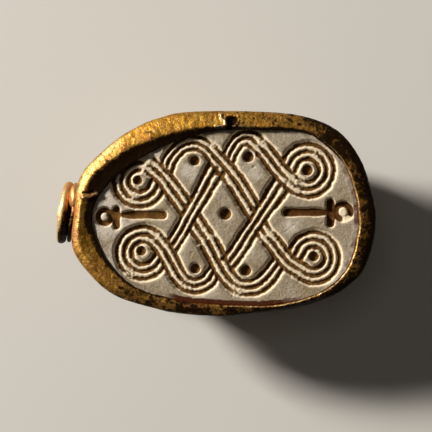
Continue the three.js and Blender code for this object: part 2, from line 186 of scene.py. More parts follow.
def coil(x, y, radius, start, stop, spacing=0.53):
    """Stations of a coiled cord, angles in degrees."""
    count = round(abs(stop - start) / COIL_STEP)
    turn = np.radians(np.linspace(start, stop, count + 1))
    return [(x + radius * math.cos(a), y + radius * math.sin(a), spacing) for a in turn]


# Each cord is three grooves side by side; a station is x, y and the spacing of the grooves.
CORDS = {
    "coil_upper_left": [
        *coil(-5.93, 2.28, 1.27, -21, -310),
        (-4.55, 2.77, 0.5), (-4.0, 2.16, 0.5), (-3.45, 1.41, 0.52), (-2.83, 0.59, 0.54),
    ],
    "loop_top_left": [
        (-4.0, 3.3, 0.42), (-3.85, 3.7, 0.42), (-3.5, 4.2, 0.42), (-3.05, 4.62, 0.43),
        (-2.45, 4.86, 0.44), (-1.85, 4.84, 0.44), (-1.35, 4.6, 0.44), (-0.95, 4.22, 0.46),
        (-0.64, 3.82, 0.5), (-0.2, 3.35, 0.54), (0.74, 2.15, 0.55), (1.25, 1.31, 0.55),
        (1.85, 0.38, 0.55),
    ],
    "loop_top_right": [
        (0.25, 3.95, 0.42), (0.4, 4.3, 0.42), (0.77, 4.87, 0.42), (1.1, 5.13, 0.44),
        (1.49, 5.23, 0.46), (1.87, 5.14, 0.48), (2.25, 4.8, 0.5), (2.68, 4.37, 0.5),
        (3.2, 3.71, 0.5), (3.69, 3.06, 0.5), (4.25, 2.47, 0.5), (4.75, 2.03, 0.52),
        *coil(5.67, 3.01, 1.3, 262, 522, 0.51),
    ],
    "loop_bottom_right": [
        (-1.97, -0.79, 0.56), (-1.69, -1.21, 0.57), (-1.15, -1.99, 0.57), (-0.71, -2.81, 0.56),
        (-0.26, -3.73, 0.53), (0.15, -4.33, 0.5), (0.62, -4.83, 0.48), (1.15, -5.08, 0.46),
        (1.6, -5.1, 0.46), (2.1, -5.0, 0.48), (2.6, -4.7, 0.5), (3.1, -4.18, 0.48),
        (3.6, -3.5, 0.45),
    ],
    "coil_lower_right": [
        (2.5, -0.98, 0.46), (2.78, -1.42, 0.48), (3.33, -2.03, 0.5), (3.83, -2.72, 0.5),
        (4.38, -3.35, 0.5), (4.95, -3.78, 0.5),
        *coil(6.1, -3.01, 1.25, 225, 520, 0.5),
    ],
    "coil_lower_left": [
        *coil(-5.7, -2.68, 1.28, -30, -330, 0.51),
        (-4.31, -2.36, 0.5), (-4.1, -2.67, 0.5), (-3.73, -3.38, 0.5), (-3.32, -4.13, 0.48),
        (-2.88, -4.67, 0.46), (-2.34, -4.95, 0.45), (-1.89, -4.95, 0.45), (-1.48, -4.81, 0.45),
        (-1.15, -4.55, 0.45), (-0.85, -4.1, 0.42),
    ],
    "bar_left": [
        (-3.68, -2.17, 0.44), (-3.11, -1.28, 0.43), (-2.64, -0.42, 0.43), (-2.25, 0.27, 0.44),
        (-1.76, 1.12, 0.47), (-1.31, 1.97, 0.51), (-0.9, 2.7, 0.55), (-0.6, 3.15, 0.56),
    ],
    "bar_right": [
        (0.2, -3.38, 0.48), (0.83, -2.57, 0.48), (1.44, -1.58, 0.47), (2.0, -0.75, 0.45),
        (2.4, -0.12, 0.45), (2.95, 0.7, 0.49), (3.44, 1.42, 0.55), (3.86, 2.02, 0.58),
    ],
}
# Middles of the two coils at the right.
RIGHT_COILS = ((5.67, 3.0), (6.1, -3.0))
# Drilled dots: x, y, radius.
DOTS = [
    (0, 0, 0.40), (-6.05, 2.32, 0.30), (5.65, 3.02, 0.37), (-5.8, -2.55, 0.32),
    (6.1, -2.93, 0.33), (-2.12, 3.68, 0.34), (1.58, 3.94, 0.37), (-2.08, -3.77, 0.34),
    (1.4, -3.9, 0.37),
]
DOT_DEPTH = 0.36
DOT_BEVEL = 0.05
DOT_SHOULDER = 0.2
# Looped crosses lying on their sides, one pointing to each side. The stem runs outward to the
# bar, and the loop lies beyond the bar round a low boss. In one the loop and bar have run
# together.
LOOPED_CROSSES = [
    {"side": 1, "stem_x": (4.24, 7.0), "stem_y": 0.1, "bar_x": 7.24, "bar_y": (-0.66, 0.78),
     "bar_half": 0.36, "loop": (8.12, 0.15), "loop_r": 0.52, "joined": False},
    {"side": -1, "stem_x": (4.32, 7.0), "stem_y": -0.07, "bar_x": 7.52, "bar_y": (-0.82, 0.3),
     "bar_half": 0.32, "loop": (8.33, -0.19), "loop_r": 0.44, "joined": True},
]
# Half widths and depths of the cuts, and the rise and radius of the boss in the joined loop.
CROSS_HALF = 0.37
CROSS_DEPTH = 0.29
BAR_DEPTH = CROSS_DEPTH + 0.05
LOOP_HALF = 0.29
LOOP_DEPTH = CROSS_DEPTH + 0.04
BOSS_DEPTH = 0.1
BOSS_RISE = 0.16
BOSS_R = 0.27
# The cut that joins the loop to the bar: x past the bar from and to, height over the loop's
# middle, half width.
BRIDGE_X = (0.32, 0.02)
BRIDGE_UP = 0.12
BRIDGE_HALF = 0.42
# Where the open loop is worn: x, y, reach, share of depth lost.
WORN_LOOP = (8.38, -0.38, 0.36, 0.6)
# Places where the cutting is worn shallow: x, y, reach, share of depth lost.
WORN_SPOTS = [
    (-5.45, 3.6, 0.3, 0.6), (-1.0, 5.15, 0.35, 0.8), (2.75, -1.65, 0.25, 0.4),
    (0.1, 2.4, 0.25, 0.5), (-3.95, 1.35, 0.3, 0.35), (-1.15, -1.75, 0.18, 0.5),
    (0.75, -5.55, 0.3, 0.6), (2.45, 4.85, 0.25, 0.4), (-3.75, 4.2, 0.2, 0.2),
    (3.35, -0.95, 0.2, 0.4), (4.45, 2.55, 0.25, 0.4), (-5.2, -4.3, 0.25, 0.3),
]
# Places where the cutting has crumbled: x, y, reach, share of the shape lost.
CRUMBLED = [
    (4.95, 2.1, 0.6, 0.65), (-5.3, 3.6, 0.25, 0.7), (-0.75, 4.75, 0.4, 0.7),
    (-4.1, 3.2, 0.22, 0.5), (2.7, -1.55, 0.22, 0.3), (0.85, -5.25, 0.5, 0.6),
    (7.05, -1.45, 0.45, 0.6), (4.7, -4.4, 0.35, 0.6), (-4.6, -1.5, 0.4, 0.7),
    (-6.65, -4.15, 0.42, 1.0), (-2.75, -4.85, 0.4, 0.6), (-6.3, 1.25, 0.35, 0.6),
    (-6.5, -3.1, 0.3, 0.5), (0.2, 2.3, 0.35, 0.5), (-1.7, -1.2, 0.3, 0.5),
    (6.4, 4.25, 0.35, 0.5), (2.5, 4.9, 0.35, 0.5), (5.2, -3.9, 0.3, 0.6), (-3.6, -4.2, 0.3, 0.5),
]
# Pale places on the stone: a skin of glaze left, and at some a painted sheen of the glaze: x, y,
# reach, amount.
GLAZE_AND_SHEEN_SPOTS = [
    (2.0, 2.75, 0.5, 0.6), (4.5, -0.9, 0.6, 0.6), (1.6, -2.6, 0.6, 0.25), (-4.6, 4.1, 0.7, 0.9),
    (-2.5, 2.95, 0.7, 0.6), (2.9, 4.6, 0.8, 0.3), (-7.6, -3.2, 1.2, 0.6), (-1.6, -5.3, 0.8, 0.4),
    (-0.7, 4.9, 0.5, 0.5), (-6.9, -0.9, 0.8, 0.6),
]
# Small pits: x, y, radius, depth.
PITS = [
    (-0.55, 4.6, 0.09, 0.22), (-0.5, 4.32, 0.09, 0.22), (-5.98, 2.78, 0.07, 0.16),
    (1.95, 3.25, 0.08, 0.14), (3.32, -1.15, 0.11, 0.2), (0.47, -5.3, 0.09, 0.2),
    (0.48, -5.68, 0.07, 0.16), (6.67, -0.64, 0.06, 0.12), (-2.4, -2.65, 0.06, 0.1),
    (-2.68, -5.3, 0.07, 0.14), (-4.55, -4.35, 0.08, 0.1), (5.35, 4.75, 0.06, 0.1),
]
# Scratches: from x, y to x, y, half width, depth.
SCRATCHES = [
    (4.15, -1.25, 4.95, -0.6, 0.035, 0.05), (3.9, -1.35, 4.5, -1.0, 0.03, 0.035),
    (-2.45, -2.9, -2.22, -2.6, 0.05, 0.05), (5.1, 4.0, 5.9, 4.75, 0.03, 0.03),
    (0.2, -1.35, 1.3, -0.9, 0.025, 0.02), (-6.4, 4.1, -5.9, 4.5, 0.03, 0.03),
    (2.2, 2.35, 2.4, 2.9, 0.03, 0.03), (-8.3, 1.0, -7.6, 1.4, 0.03, 0.03),
    (4.3, -5.2, 5.3, -4.95, 0.03, 0.03), (-3.1, -5.6, -2.6, -5.4, 0.04, 0.04),
]

# ------------------------------------------------------------------ the beetle's back
# Lines cut in the back: the wing cases' front edge, the short line before it, their seam, the
# back of the head, the wing cases' sides and the two lines on the head.
BACK_LINES = [
    [(-3.7, 5.0), (-2.95, 2.6), (-2.75, 0), (-2.95, -2.6), (-3.7, -5.0)],
    [(-2.75, 0.04), (-2.35, 0.04), (-1.95, 0.04)],
    [(1.85, 0.03), (4.5, 0.02), (8.6, 0.0)],
    [(-7.35, 2.75), (-6.1, 1.5), (-5.85, 0), (-6.1, -1.5), (-7.35, -2.75)],
    [(-2.7, 3.9), (2.0, 4.75), (6.8, 3.1)],
    [(-2.7, -3.9), (2.0, -4.75), (6.8, -3.1)],
    [(-8.6, 0.75), (-7.6, 0.65), (-6.6, 0.55)],
    [(-8.6, -0.75), (-7.6, -0.65), (-6.6, -0.55)],
]
BACK_LINE_HALF = 0.2
BACK_LINE_DEPTH = 0.2
# Cuts between the legs, the same on both sides: direction and slant in degrees.
LEG_CUTS = [(22, 9), (48, 7), (66, 6), (92, -6), (112, -7), (132, -9), (158, -8)]


# ------------------------------------------------------------------ helpers
# Spacing of the points on a smooth path.
PATH_STEP = 0.05


def lumps(points, size, seed):
    """Smooth random field from -1 to 1 whose lumps have the given size.

    Each corner of a cell gets a value scrambled from its place and the seed, and a point in the
    cell gets a smooth mix of its eight corners.
    """
    place = np.asarray(points, float) / size + 37.3 * (seed + 1)
    cell = np.floor(place).astype(np.int64)
    part = place - cell
    part = part * part * (3 - 2 * part)
    total = np.zeros(place.shape[:-1])
    for corner in range(8):
        step = np.array([(corner >> k) & 1 for k in range(3)])
        c = cell + step
        mix = c[..., 0] * 73856093 ^ c[..., 1] * 19349663 ^ c[..., 2] * 83492791 ^ seed * 40503
        mix = (mix ^ (mix >> 13)) * 1274126177 & 0xFFFFFFFF
        mix = (mix ^ (mix >> 16)) & 0xFFFF
        total += (mix / 32767.5 - 1) * np.prod(np.where(step == 1, part, 1 - part), axis=-1)
    return total


def flat_lumps(x, y, size, seed):
    """The same field on a plane."""
    x, y = np.broadcast_arrays(x, y)
    return lumps(np.stack([x, y, np.zeros_like(x)], -1), size, seed)


def ease(low, high, value):
    """Smooth step from 0 at low to 1 at high."""
    t = np.clip((value - low) / (high - low), 0, 1)
    return t * t * (3 - 2 * t)


def smooth_path(points, closed=False):
    """Evenly spaced points on a smooth curve through the stations."""
    p = np.array(points, float)
    n = len(p)
    t = np.linspace(0, 1, 24, endpoint=False)[:, None]
    runs = []
    for i in range(n if closed else n - 1):
        near = [(i + k - 1) % n if closed else min(max(i + k - 1, 0), n - 1) for k in range(4)]
        a, b, c, d = p[near]
        bend = (2 * a - 5 * b + 4 * c - d) * t**2 + (3 * b - 3 * c + d - a) * t**3
        runs.append(0.5 * (2 * b + (c - a) * t + bend))
    curve = np.vstack([*runs, p[:1] if closed else p[-1:]])
    along = np.concatenate([[0], np.cumsum(np.linalg.norm(np.diff(curve[:, :2], axis=0), axis=1))])
    even = np.linspace(0, along[-1], max(3, round(along[-1] / PATH_STEP) + 1))
    return np.stack([np.interp(even, along, column) for column in curve.T], 1)


def radius_of(outline):
    """Radius of a closed outline as a function of the direction from its centre."""
    curve = smooth_path(outline, closed=True)[:-1]
    angle = np.arctan2(curve[:, 1], curve[:, 0])
    order = np.argsort(angle)
    radius = np.hypot(curve[:, 0], curve[:, 1])
    return lambda a: np.interp(a, angle[order], radius[order], period=2 * math.pi)


mount_radius = radius_of(MOUNT_OUTLINE)
lip_radius = radius_of(LIP_OUTLINE)


def stone_radius(a):
    """Outline of the slab that carries the engraving."""
    return lip_radius(a) + STONE_SHARE * (mount_radius(a) - lip_radius(a))


def back_radius(a):
    """Outline of the beetle's back."""
    return stone_radius(a) - BACK_INSET - BACK_NARROWER * np.abs(np.sin(a))


def leg_radius(a):
    """Outline of the wall between slab and back, where the legs are."""
    return back_radius(a) - LEG_INSET


def dome_z(share):
    """Height of the domed back at a share of its outline."""
    s = np.clip((share - FLAT_SPOT) / (1 - FLAT_SPOT), 0, 1)
    return BACK_Z * (1 - np.power(np.clip(1 - np.power(s, 2.1), 0, 1), 0.6))


def soften(grid, reach):
    """Blurs a raster over the given number of cells."""
    size = max(1, int(3 * reach))
    kernel = np.exp(-0.5 * (np.arange(-size, size + 1) / reach) ** 2)
    kernel /= kernel.sum()
    padded = np.pad(grid, size, mode="edge")
    rows = sum(w * padded[:, i:i + grid.shape[1]] for i, w in enumerate(kernel))
    return sum(w * rows[i:i + grid.shape[0]] for i, w in enumerate(kernel))


class Cutting:
    """Depth of the carving over a plane, kept on a fine square raster."""

    def __init__(self, low, high, cell):
        self.cell = cell
        self.x = np.arange(low[0], high[0] + cell, cell)
        self.y = np.arange(low[1], high[1] + cell, cell)
        self.depth = np.zeros((len(self.y), len(self.x)))

    def window(self, low, high):
        """Slices of the raster between two corners."""
        spans = []
        for axis, a, b in ((self.x, low[0], high[0]), (self.y, low[1], high[1])):
            first = int(np.clip((a - axis[0]) // self.cell, 0, len(axis) - 1))
            last = int(np.clip((b - axis[0]) // self.cell + 2, 1, len(axis)))
            spans.append(slice(first, last))
        return spans[0], spans[1]

    def stroke(self, path, half, depth, section):
        """Cuts a groove along a path; section gives its depth from the middle, 0, to a side, 1."""
        half, depth = (np.broadcast_to(v, len(path)) for v in (half, depth))
        for i in range(len(path) - 1):
            a, b = path[i], path[i + 1]
            sx, sy = self.window(np.minimum(a, b) - half[i], np.maximum(a, b) + half[i])
            x, y = self.x[sx][None, :] - a[0], self.y[sy][:, None] - a[1]
            d = b - a
            t = np.clip((x * d[0] + y * d[1]) / max(d @ d, 1e-12), 0, 1)
            away = np.hypot(x - t * d[0], y - t * d[1])
            cut = (depth[i] * (1 - t) + depth[i + 1] * t) * section(away / half[i])
            np.maximum(self.depth[sy, sx], cut, out=self.depth[sy, sx])

    def cover(self, path, half):
        """Marks the strip under a path, square at its ends, as 1."""
        for i in range(len(path) - 1):
            a, b = path[i], path[i + 1]
            sx, sy = self.window(np.minimum(a, b) - half[i], np.maximum(a, b) + half[i])
            x, y = self.x[sx][None, :] - a[0], self.y[sy][:, None] - a[1]
            d = b - a
            t = (x * d[0] + y * d[1]) / max(d @ d, 1e-12)
            away = np.abs(d[0] * y - d[1] * x) / max(np.linalg.norm(d), 1e-9)
            inside = (t >= -0.3) & (t <= 1.3) & (away < half[i])
            self.depth[sy, sx][inside] = 1

    def hole(self, x, y, radius, depth, fullness):
        """Cuts a round hole whose section is that of a groove."""
        self.stroke(np.array([[x, y], [x + 1e-4, y]]), radius, depth, power(fullness))

    def spot(self, x, y, reach, sharpness):
        """1 at a place, falling to 0 past its reach."""
        away = np.hypot(self.x[None, :] - x, self.y[:, None] - y)
        return np.exp(-(away / reach) ** sharpness)

    def sample(self, grid, x, y):
        """Value of a raster at any points, joined smoothly."""
        fx = np.clip((x - self.x[0]) / self.cell, 0, len(self.x) - 1.001)
        fy = np.clip((y - self.y[0]) / self.cell, 0, len(self.y) - 1.001)
        ix, iy = fx.astype(int), fy.astype(int)
        tx, ty = fx - ix, fy - iy
        low = grid[iy, ix] * (1 - tx) + grid[iy, ix + 1] * tx
        high = grid[iy + 1, ix] * (1 - tx) + grid[iy + 1, ix + 1] * tx
        return low * (1 - ty) + high * ty


def power(fullness):
    """Section of a groove: 1 gives a V, larger values a fuller and steeper U."""
    return lambda s: np.clip(1 - np.minimum(s, 1) ** fullness, 0, 1)


def with_tails(path, length):
    """The path carried on straight at both ends, and how many points each end gained."""
    count = round(length / PATH_STEP)
    run = np.arange(1, count + 1)[:, None] * PATH_STEP
    heads = []
    for end, near in ((path[0], path[3]), (path[-1], path[-4])):
        way = end[:2] - near[:2]
        way = way / np.linalg.norm(way)
        spacing = np.full((count, 1), end[2])
        heads.append(np.hstack([end[:2] + run * way, spacing]))
    return np.vstack([heads[0][::-1], path, heads[1]]), count


def sideways(path, amount):
    """The path moved to its left by an amount in millimetres."""
    ahead = np.gradient(path, axis=0)
    ahead /= np.maximum(np.linalg.norm(ahead, axis=1, keepdims=True), 1e-9)
    return path + np.stack([-ahead[:, 1], ahead[:, 0]], 1) * np.reshape(amount, (-1, 1))


def link(mesh_object):
    """Puts an object into the scene."""
    bpy.context.scene.collection.objects.link(mesh_object)
    return mesh_object


def mesh_piece(name, points, faces):
    """A mesh object from points in millimetres."""
    mesh = bpy.data.meshes.new(name)
    mesh.from_pydata((np.asarray(points) * MM).tolist(), [], [list(map(int, f)) for f in faces])
    mesh.validate()
    mesh.shade_smooth()
    return link(bpy.data.objects.new(name, mesh))


def put_attribute(piece, name, values):
    """Stores a value at every point for the finishes to read."""
    attribute = piece.data.attributes.new(name, "FLOAT", "POINT")
    attribute.data.foreach_set("value", np.asarray(values, np.float32))


def points_of(piece):
    """The points of a piece in millimetres."""
    flat = np.zeros(len(piece.data.vertices) * 3)
    piece.data.vertices.foreach_get("co", flat)
    return flat.reshape(-1, 3) / MM


def bake_modifiers(piece):
    """Turns a piece and its modifiers into a plain mesh."""
    graph = bpy.context.evaluated_depsgraph_get()
    plain = bpy.data.meshes.new_from_object(piece.evaluated_get(graph))
    piece.modifiers.clear()
    plain.materials.clear()
    piece.data = plain
    piece.data.shade_smooth()


# ------------------------------------------------------------------ helpers for grids of points
def square_to_oval(cells):
    """Grid of a square laid over a unit disc without a pole."""
    u, v = np.meshgrid(np.linspace(-1, 1, cells[0] + 1), np.linspace(-1, 1, cells[1] + 1))
    return u * np.sqrt(1 - v * v / 2), v * np.sqrt(1 - u * u / 2)


def oval_grid(cells, radius):
    """Grid over an outline: x, y and the share of the outline's radius."""
    dx, dy = square_to_oval(cells)
    share = np.hypot(dx, dy)
    angle = np.arctan2(dy * STONE_HALF[1], dx * STONE_HALF[0])
    return share * radius(angle) * np.cos(angle), share * radius(angle) * np.sin(angle), share


def grid_faces(cells, first, upward):
    """Quads of a grid, facing up or down."""
    nx, ny = cells
    i, j = np.meshgrid(np.arange(nx), np.arange(ny))
    a = (first + j * (nx + 1) + i).ravel()
    quad = np.stack([a, a + 1, a + nx + 2, a + nx + 1], 1)
    return quad if upward else quad[:, ::-1]


def grid_rim(cells, first):
    """Indices round the edge of a grid, anticlockwise seen from above."""
    nx, ny = cells
    bottom = np.arange(nx)
    right = np.arange(ny) * (nx + 1) + nx
    top = ny * (nx + 1) + np.arange(nx, 0, -1)
    left = np.arange(ny, 0, -1) * (nx + 1)
    return first + np.concatenate([bottom, right, top, left])


def wall_faces(upper, lower):
    """Quads between two closed rows of points, faces outward."""
    return np.stack([upper, lower, np.roll(lower, -1), np.roll(upper, -1)], 1)


def closed_faces(rows, steps, first=0, turned=False):
    """Quads of a ring-shaped surface: closed rows of points, and the last row meets the first.

    Turned gives the same quads facing the other way.
    """
    k, i = np.meshgrid(np.arange(rows), np.arange(steps), indexing="ij")
    here, there = k * steps + i, k * steps + (i + 1) % steps
    up, across = (k + 1) % rows * steps + i, (k + 1) % rows * steps + (i + 1) % steps
    quad = [here, up, across, there] if turned else [here, there, across, up]
    return first + np.stack(quad, -1).reshape(-1, 4)


def ring_at(radius, angle, level):
    """Points at a radius in each direction, all at one height."""
    flat = np.full_like(angle, level)
    return np.stack([radius * np.cos(angle), radius * np.sin(angle), flat], 1)


# ------------------------------------------------------------------ carving the base
def engrave_base():
    """Raster of the engraved base: cords, dots, looped crosses, wear, pits and scratches."""
    base = cut_cords()
    x, y = base.x[None, :], base.y[:, None]
    near = ease(0.02, 0.15, soften(base.depth, 6))
    broad, middle, fine = (flat_lumps(x, y, *kind) for kind in WEAR_GRAINS)
    # Chips out of the flats beside the grooves, then rough walls and floors in the grooves.
    nicks = 0.09 * np.clip(broad - 0.25, 0, 1) + 0.05 * np.clip(fine - 0.3, 0, 1)
    base.depth += near * nicks * ease(0.25, 0.1, base.depth)
    base.depth += near * ease(0.1, 0.2, base.depth) * (0.035 * middle + 0.02 * fine)
    crumbled = crumble(base, near, middle, fine)
    cut_marks(base)
    base.depth = soften(base.depth, 0.8)
    cut = np.minimum(base.depth, 0.3)
    # Earth and painted shade darken what is deep, and the edges of the cuts are rubbed pale.
    base.hollow = ease(0.13, 0.295, soften(base.depth, 1.0) + 0.03 * fine)
    base.hollow = np.maximum(base.hollow, crumbled * np.clip(0.25 + 0.9 * fine, 0, 1))
    base.edge = ease(0.035, 0.1, cut + 0.01 * middle) * ease(0.27, 0.145, cut)
    base.edge *= 1 - 0.4 * crumbled
    rough = 0.022 * flat_lumps(x, y, 1.4, 21) + 0.014 * flat_lumps(x, y, 0.35, 22)
    rough += 0.016 * flat_lumps(x, y, 0.13, 23)
    base.height = FACE_Z - base.depth - 0.12 * soften(cut, 5) + np.minimum(rough, 0.0)
    return base


def cut_cords():
    """The cords, whose ends pass under the cords that cross them."""
    base, tails, under = (Cutting(*BASE_RASTER) for _ in range(3))
    for seed, stations in enumerate(CORDS.values()):
        path, extra = with_tails(smooth_path(stations), TAIL)
        seen = path[extra:-extra]
        cut_cord(base, seen, seed)
        cut_cord(tails, path[:extra + 2], seed)
        cut_cord(tails, path[-extra - 2:], seed)
        under.cover(seen[:, :2], 1.12 * seen[:, 2])
    base.depth = np.maximum(base.depth, tails.depth * (1 - under.depth))
    return base


def cut_cord(base, path, seed):
    """Three grooves side by side in a shallow bed whose shoulders round off the flats beside it."""
    spacing = path[:, 2]
    x, y = path[:, 0], path[:, 1]
    worn = np.ones(len(path))
    for x0, y0, reach, lost in WORN_SPOTS:
        worn = worn * (1 - lost * np.exp(-((x - x0) ** 2 + (y - y0) ** 2) / reach**2))
    reach = spacing + SHOULDER
    base.stroke(path[:, :2], reach, BED_DEPTH * worn, lambda s: ease(1.0, 0.5, s))
    for k in (-1, 0, 1):
        line = sideways(path[:, :2], k * spacing)
        a, b = line[:, 0].copy(), line[:, 1].copy()
        mark = seed + 9 * k
        for axis, kind in ((0, 11), (1, 41)):
            line[:, axis] += (0.022 * flat_lumps(a, b, 0.7, kind + mark)
                              + 0.02 * flat_lumps(a, b, 0.16, kind + 1))
        depth = GROOVE_DEPTH * worn * (1 + 0.14 * flat_lumps(a, b, 0.5, 3 + mark))
        half = GROOVE_SHARE * spacing * (1 + 0.1 * flat_lumps(a, b, 0.2, 5 + mark))
        base.stroke(line, half, depth, power(GROOVE_FULLNESS))


def crumble(base, near, middle, fine):
    """Breaks down the ridges at the crumbled places and returns how crumbled each place is."""
    crumbs = np.clip(0.12 + 0.08 * middle + 0.05 * fine, 0, 1)
    crumbled = np.zeros_like(base.depth)
    x, y = base.x[None, :], base.y[:, None]
    for x0, y0, reach, lost in CRUMBLED:
        spot = np.exp(-(((x - x0) ** 2 + (y - y0) ** 2) / reach**2) ** 2)
        base.depth += 0.7 * lost * spot * near * (crumbs - base.depth)
        crumbled = np.maximum(crumbled, lost * spot * near)
    return crumbled


def cut_marks(base):
    """Drilled dots, looped crosses, pits and scratches."""
    for x, y, r in DOTS:
        base.hole(x, y, r + DOT_SHOULDER, DOT_SHOULDER / 2, 1.5)
        base.hole(x, y, r + DOT_BEVEL, DOT_DEPTH, 8.0)
    for cross in LOOPED_CROSSES:
        cut_looped_cross(base, **cross)
    for x, y, r, depth in PITS:
        base.hole(x, y, r, depth, 2)
    for x0, y0, x1, y1, half, depth in SCRATCHES:
        base.stroke(smooth_path([(x0, y0), (x1, y1)]), half, depth, power(1.5))


def cut_looped_cross(base, side, stem_x, stem_y, bar_x, bar_y, bar_half, loop, loop_r, joined):
    """A looped cross lying on its side: stem, crossbar and loop round a low boss."""
    near, far = stem_x
    stem = smooth_path([(side * near, stem_y), (side * (near + far) / 2, stem_y + 0.02),
                        (side * far, stem_y)])
    half = CROSS_HALF * stem_width(stem, side, far)
    base.stroke(stem, half, CROSS_DEPTH, power(4.5))
    low, high = bar_y
    bar = smooth_path([(side * bar_x, low), (side * (bar_x + 0.03), 0), (side * bar_x, high)])
    base.stroke(bar, bar_half, BAR_DEPTH, power(4))
    a = np.linspace(0, 2 * math.pi, 16, endpoint=False)
    middle = (side * loop[0], loop[1])
    ring = np.stack([middle[0] + loop_r * np.cos(a), middle[1] + loop_r * np.sin(a)], 1)
    base.stroke(smooth_path(ring, closed=True), LOOP_HALF, LOOP_DEPTH, power(3))
    base.hole(*middle, loop_r, BOSS_DEPTH, 6)
    if joined:
        bridge = [(side * (bar_x + past), middle[1] + BRIDGE_UP) for past in BRIDGE_X]
        base.stroke(smooth_path(bridge), BRIDGE_HALF, LOOP_DEPTH, power(5))
        base.depth -= BOSS_RISE * base.spot(*middle, BOSS_R, 6)
        base.depth = np.maximum(base.depth, 0)
    else:
        x, y, reach, lost = WORN_LOOP
        base.depth *= 1 - lost * base.spot(x, y, reach, 4)


def stem_width(stem, side, far):
    """Share of the full width along a stem: uneven, and narrower towards the bar."""
    wobble = 1 + 0.1 * flat_lumps(stem[:, 0], stem[:, 1], 0.5, 5)
    return wobble * (1 - 0.25 * ease(far - 0.6, far, side * stem[:, 0]))


# ------------------------------------------------------------------ the stone
def leg_relief(angle, z):
    """Slanting cuts that part the beetle's legs, in the wall between slab and back."""
    cut = np.zeros_like(angle)
    middle = (PLINTH_Z + BACK_Z) / 2
    for side in (1, -1):
        for degrees, slant in LEG_CUTS:
            centre = side * math.radians(1) * (degrees - slant * (z - middle) * 0.8)
            gap = np.abs(np.arctan2(np.sin(angle - centre), np.cos(angle - centre)))
            across = gap * leg_radius(angle) / LEG_CUT_HALF
            cut = np.maximum(cut, LEG_CUT_DEPTH * np.clip(1 - across**2, 0, 1))
    return cut * ease(BACK_Z + 0.15, BACK_Z + 0.4, z) * ease(PLINTH_Z, PLINTH_Z - 0.25, z)


def carve_back():
    """Raster of the lines on the beetle's back."""
    back = Cutting(*BACK_RASTER)
    for seed, stations in enumerate(BACK_LINES):
        line = smooth_path(stations)
        line = line + 0.03 * np.stack([
            flat_lumps(line[:, 0], line[:, 1], 0.9, 51 + seed),
            flat_lumps(line[:, 0], line[:, 1], 0.9, 61 + seed)], 1)
        back.stroke(line, BACK_LINE_HALF, BACK_LINE_DEPTH, power(1.8))
    back.depth = soften(back.depth, 1.0)
    x, y = back.x[None, :], back.y[:, None]
    # Earth and painted shade darken the cut lines.
    back.hollow = ease(0.04, 0.14, back.depth)
    back.depth = back.depth - np.minimum(0.02 * flat_lumps(x, y, 1.8, 23), 0)
    return back


def engraved_face(base):
    """The engraved face: its points and faces, the row round its edge and that row's directions."""
    x, y, share = oval_grid(FACE_CELLS, stone_radius)
    angle = np.arctan2(y, x)
    inset = stone_radius(angle) * (1 - share)
    bevel = CHAMFER * np.clip(1 - inset / CHAMFER_WIDTH, 0, 1) ** 1.3
    z = base.sample(base.height, x, y) - bevel
    # Packed earth lifts the surface a little where the stone meets the gold.
    inside = lip_radius(angle) - np.hypot(x, y)
    joint = np.exp(-((np.clip(inside, 0, 9) / 0.14) ** 1.5)) * ease(-0.06, 0.02, inside)
    z = z + 0.08 * joint * joint_share(angle, x, y)
    row = grid_rim(FACE_CELLS, 0)
    points = np.stack([x, y, z], -1).reshape(-1, 3)
    return points, grid_faces(FACE_CELLS, 0, True), row, angle.reshape(-1)[row]


def stone_side(row, angle, count):
    """The wall from the face to the back, slab first and legs below: points, faces, last row."""
    points, faces = [], []
    for inset, level in SLAB_ROWS:
        points.append(ring_at(stone_radius(angle) - inset, angle, level))
        new = count + np.arange(len(row))
        faces.append(wall_faces(row, new))
        row, count = new, count + len(row)

    # Every second point goes on down the wall.
    a = angle[::2]
    levels = [(stone_radius(a) - 0.06, PLINTH_Z), (stone_radius(a) - 0.2, PLINTH_Z - 0.08),
              (leg_radius(a) - 0.02, PLINTH_Z - 0.14)]
    levels += [(leg_radius(a), z) for z in np.linspace(PLINTH_Z - 0.22, BACK_Z + 0.12, LEG_ROWS)]
    levels += [(back_radius(a) - 0.05, BACK_Z + 0.06)]
    for step, (r, level) in enumerate(levels):
        r = r - leg_relief(a, np.full_like(a, level)) + 0.02 * lumps(ring_at(r, a, level), 0.6, 31)
        points.append(ring_at(r, a, level))
        new = count + np.arange(len(a))
        if step == 0:
            even, odd, after = row[::2], row[1::2], np.roll(row[::2], -1)
            ahead = np.roll(new, -1)
            for corners in ([even, new, odd], [odd, new, ahead], [odd, ahead, after]):
                faces.append(np.stack(corners, 1))
        else:
            faces.append(wall_faces(row, new))
        row, count = new, count + len(a)
    return np.vstack(points), faces, row


def domed_back(back, row, count):
    """The beetle's back, joined to the last row of the wall: points and faces."""
    cells = (FACE_CELLS[0] // 2, FACE_CELLS[1] // 2)
    x, y, share = oval_grid(cells, back_radius)
    cut = back.sample(back.depth, x, y) * ease(1.0, 0.9, share)
    points = np.stack([x, y, dome_z(share) + cut], -1).reshape(-1, 3)
    return points, [grid_faces(cells, count, False), wall_faces(row, grid_rim(cells, count))]


def stone():
    """The whole scarab as one closed mesh, drilled from end to end."""
    base, back = engrave_base(), carve_back()
    face, face_quads, row, angle = engraved_face(base)
    side, side_faces, row = stone_side(row, angle, len(face))
    dome, dome_faces = domed_back(back, row, len(face) + len(side))
    faces = [f for part in (face_quads, *side_faces, *dome_faces) for f in part]
    piece = mesh_piece("engraved_scarab", np.vstack([face, side, dome]), faces)
    drill_through(piece)
    stone_attributes(piece, base, back)
    return piece


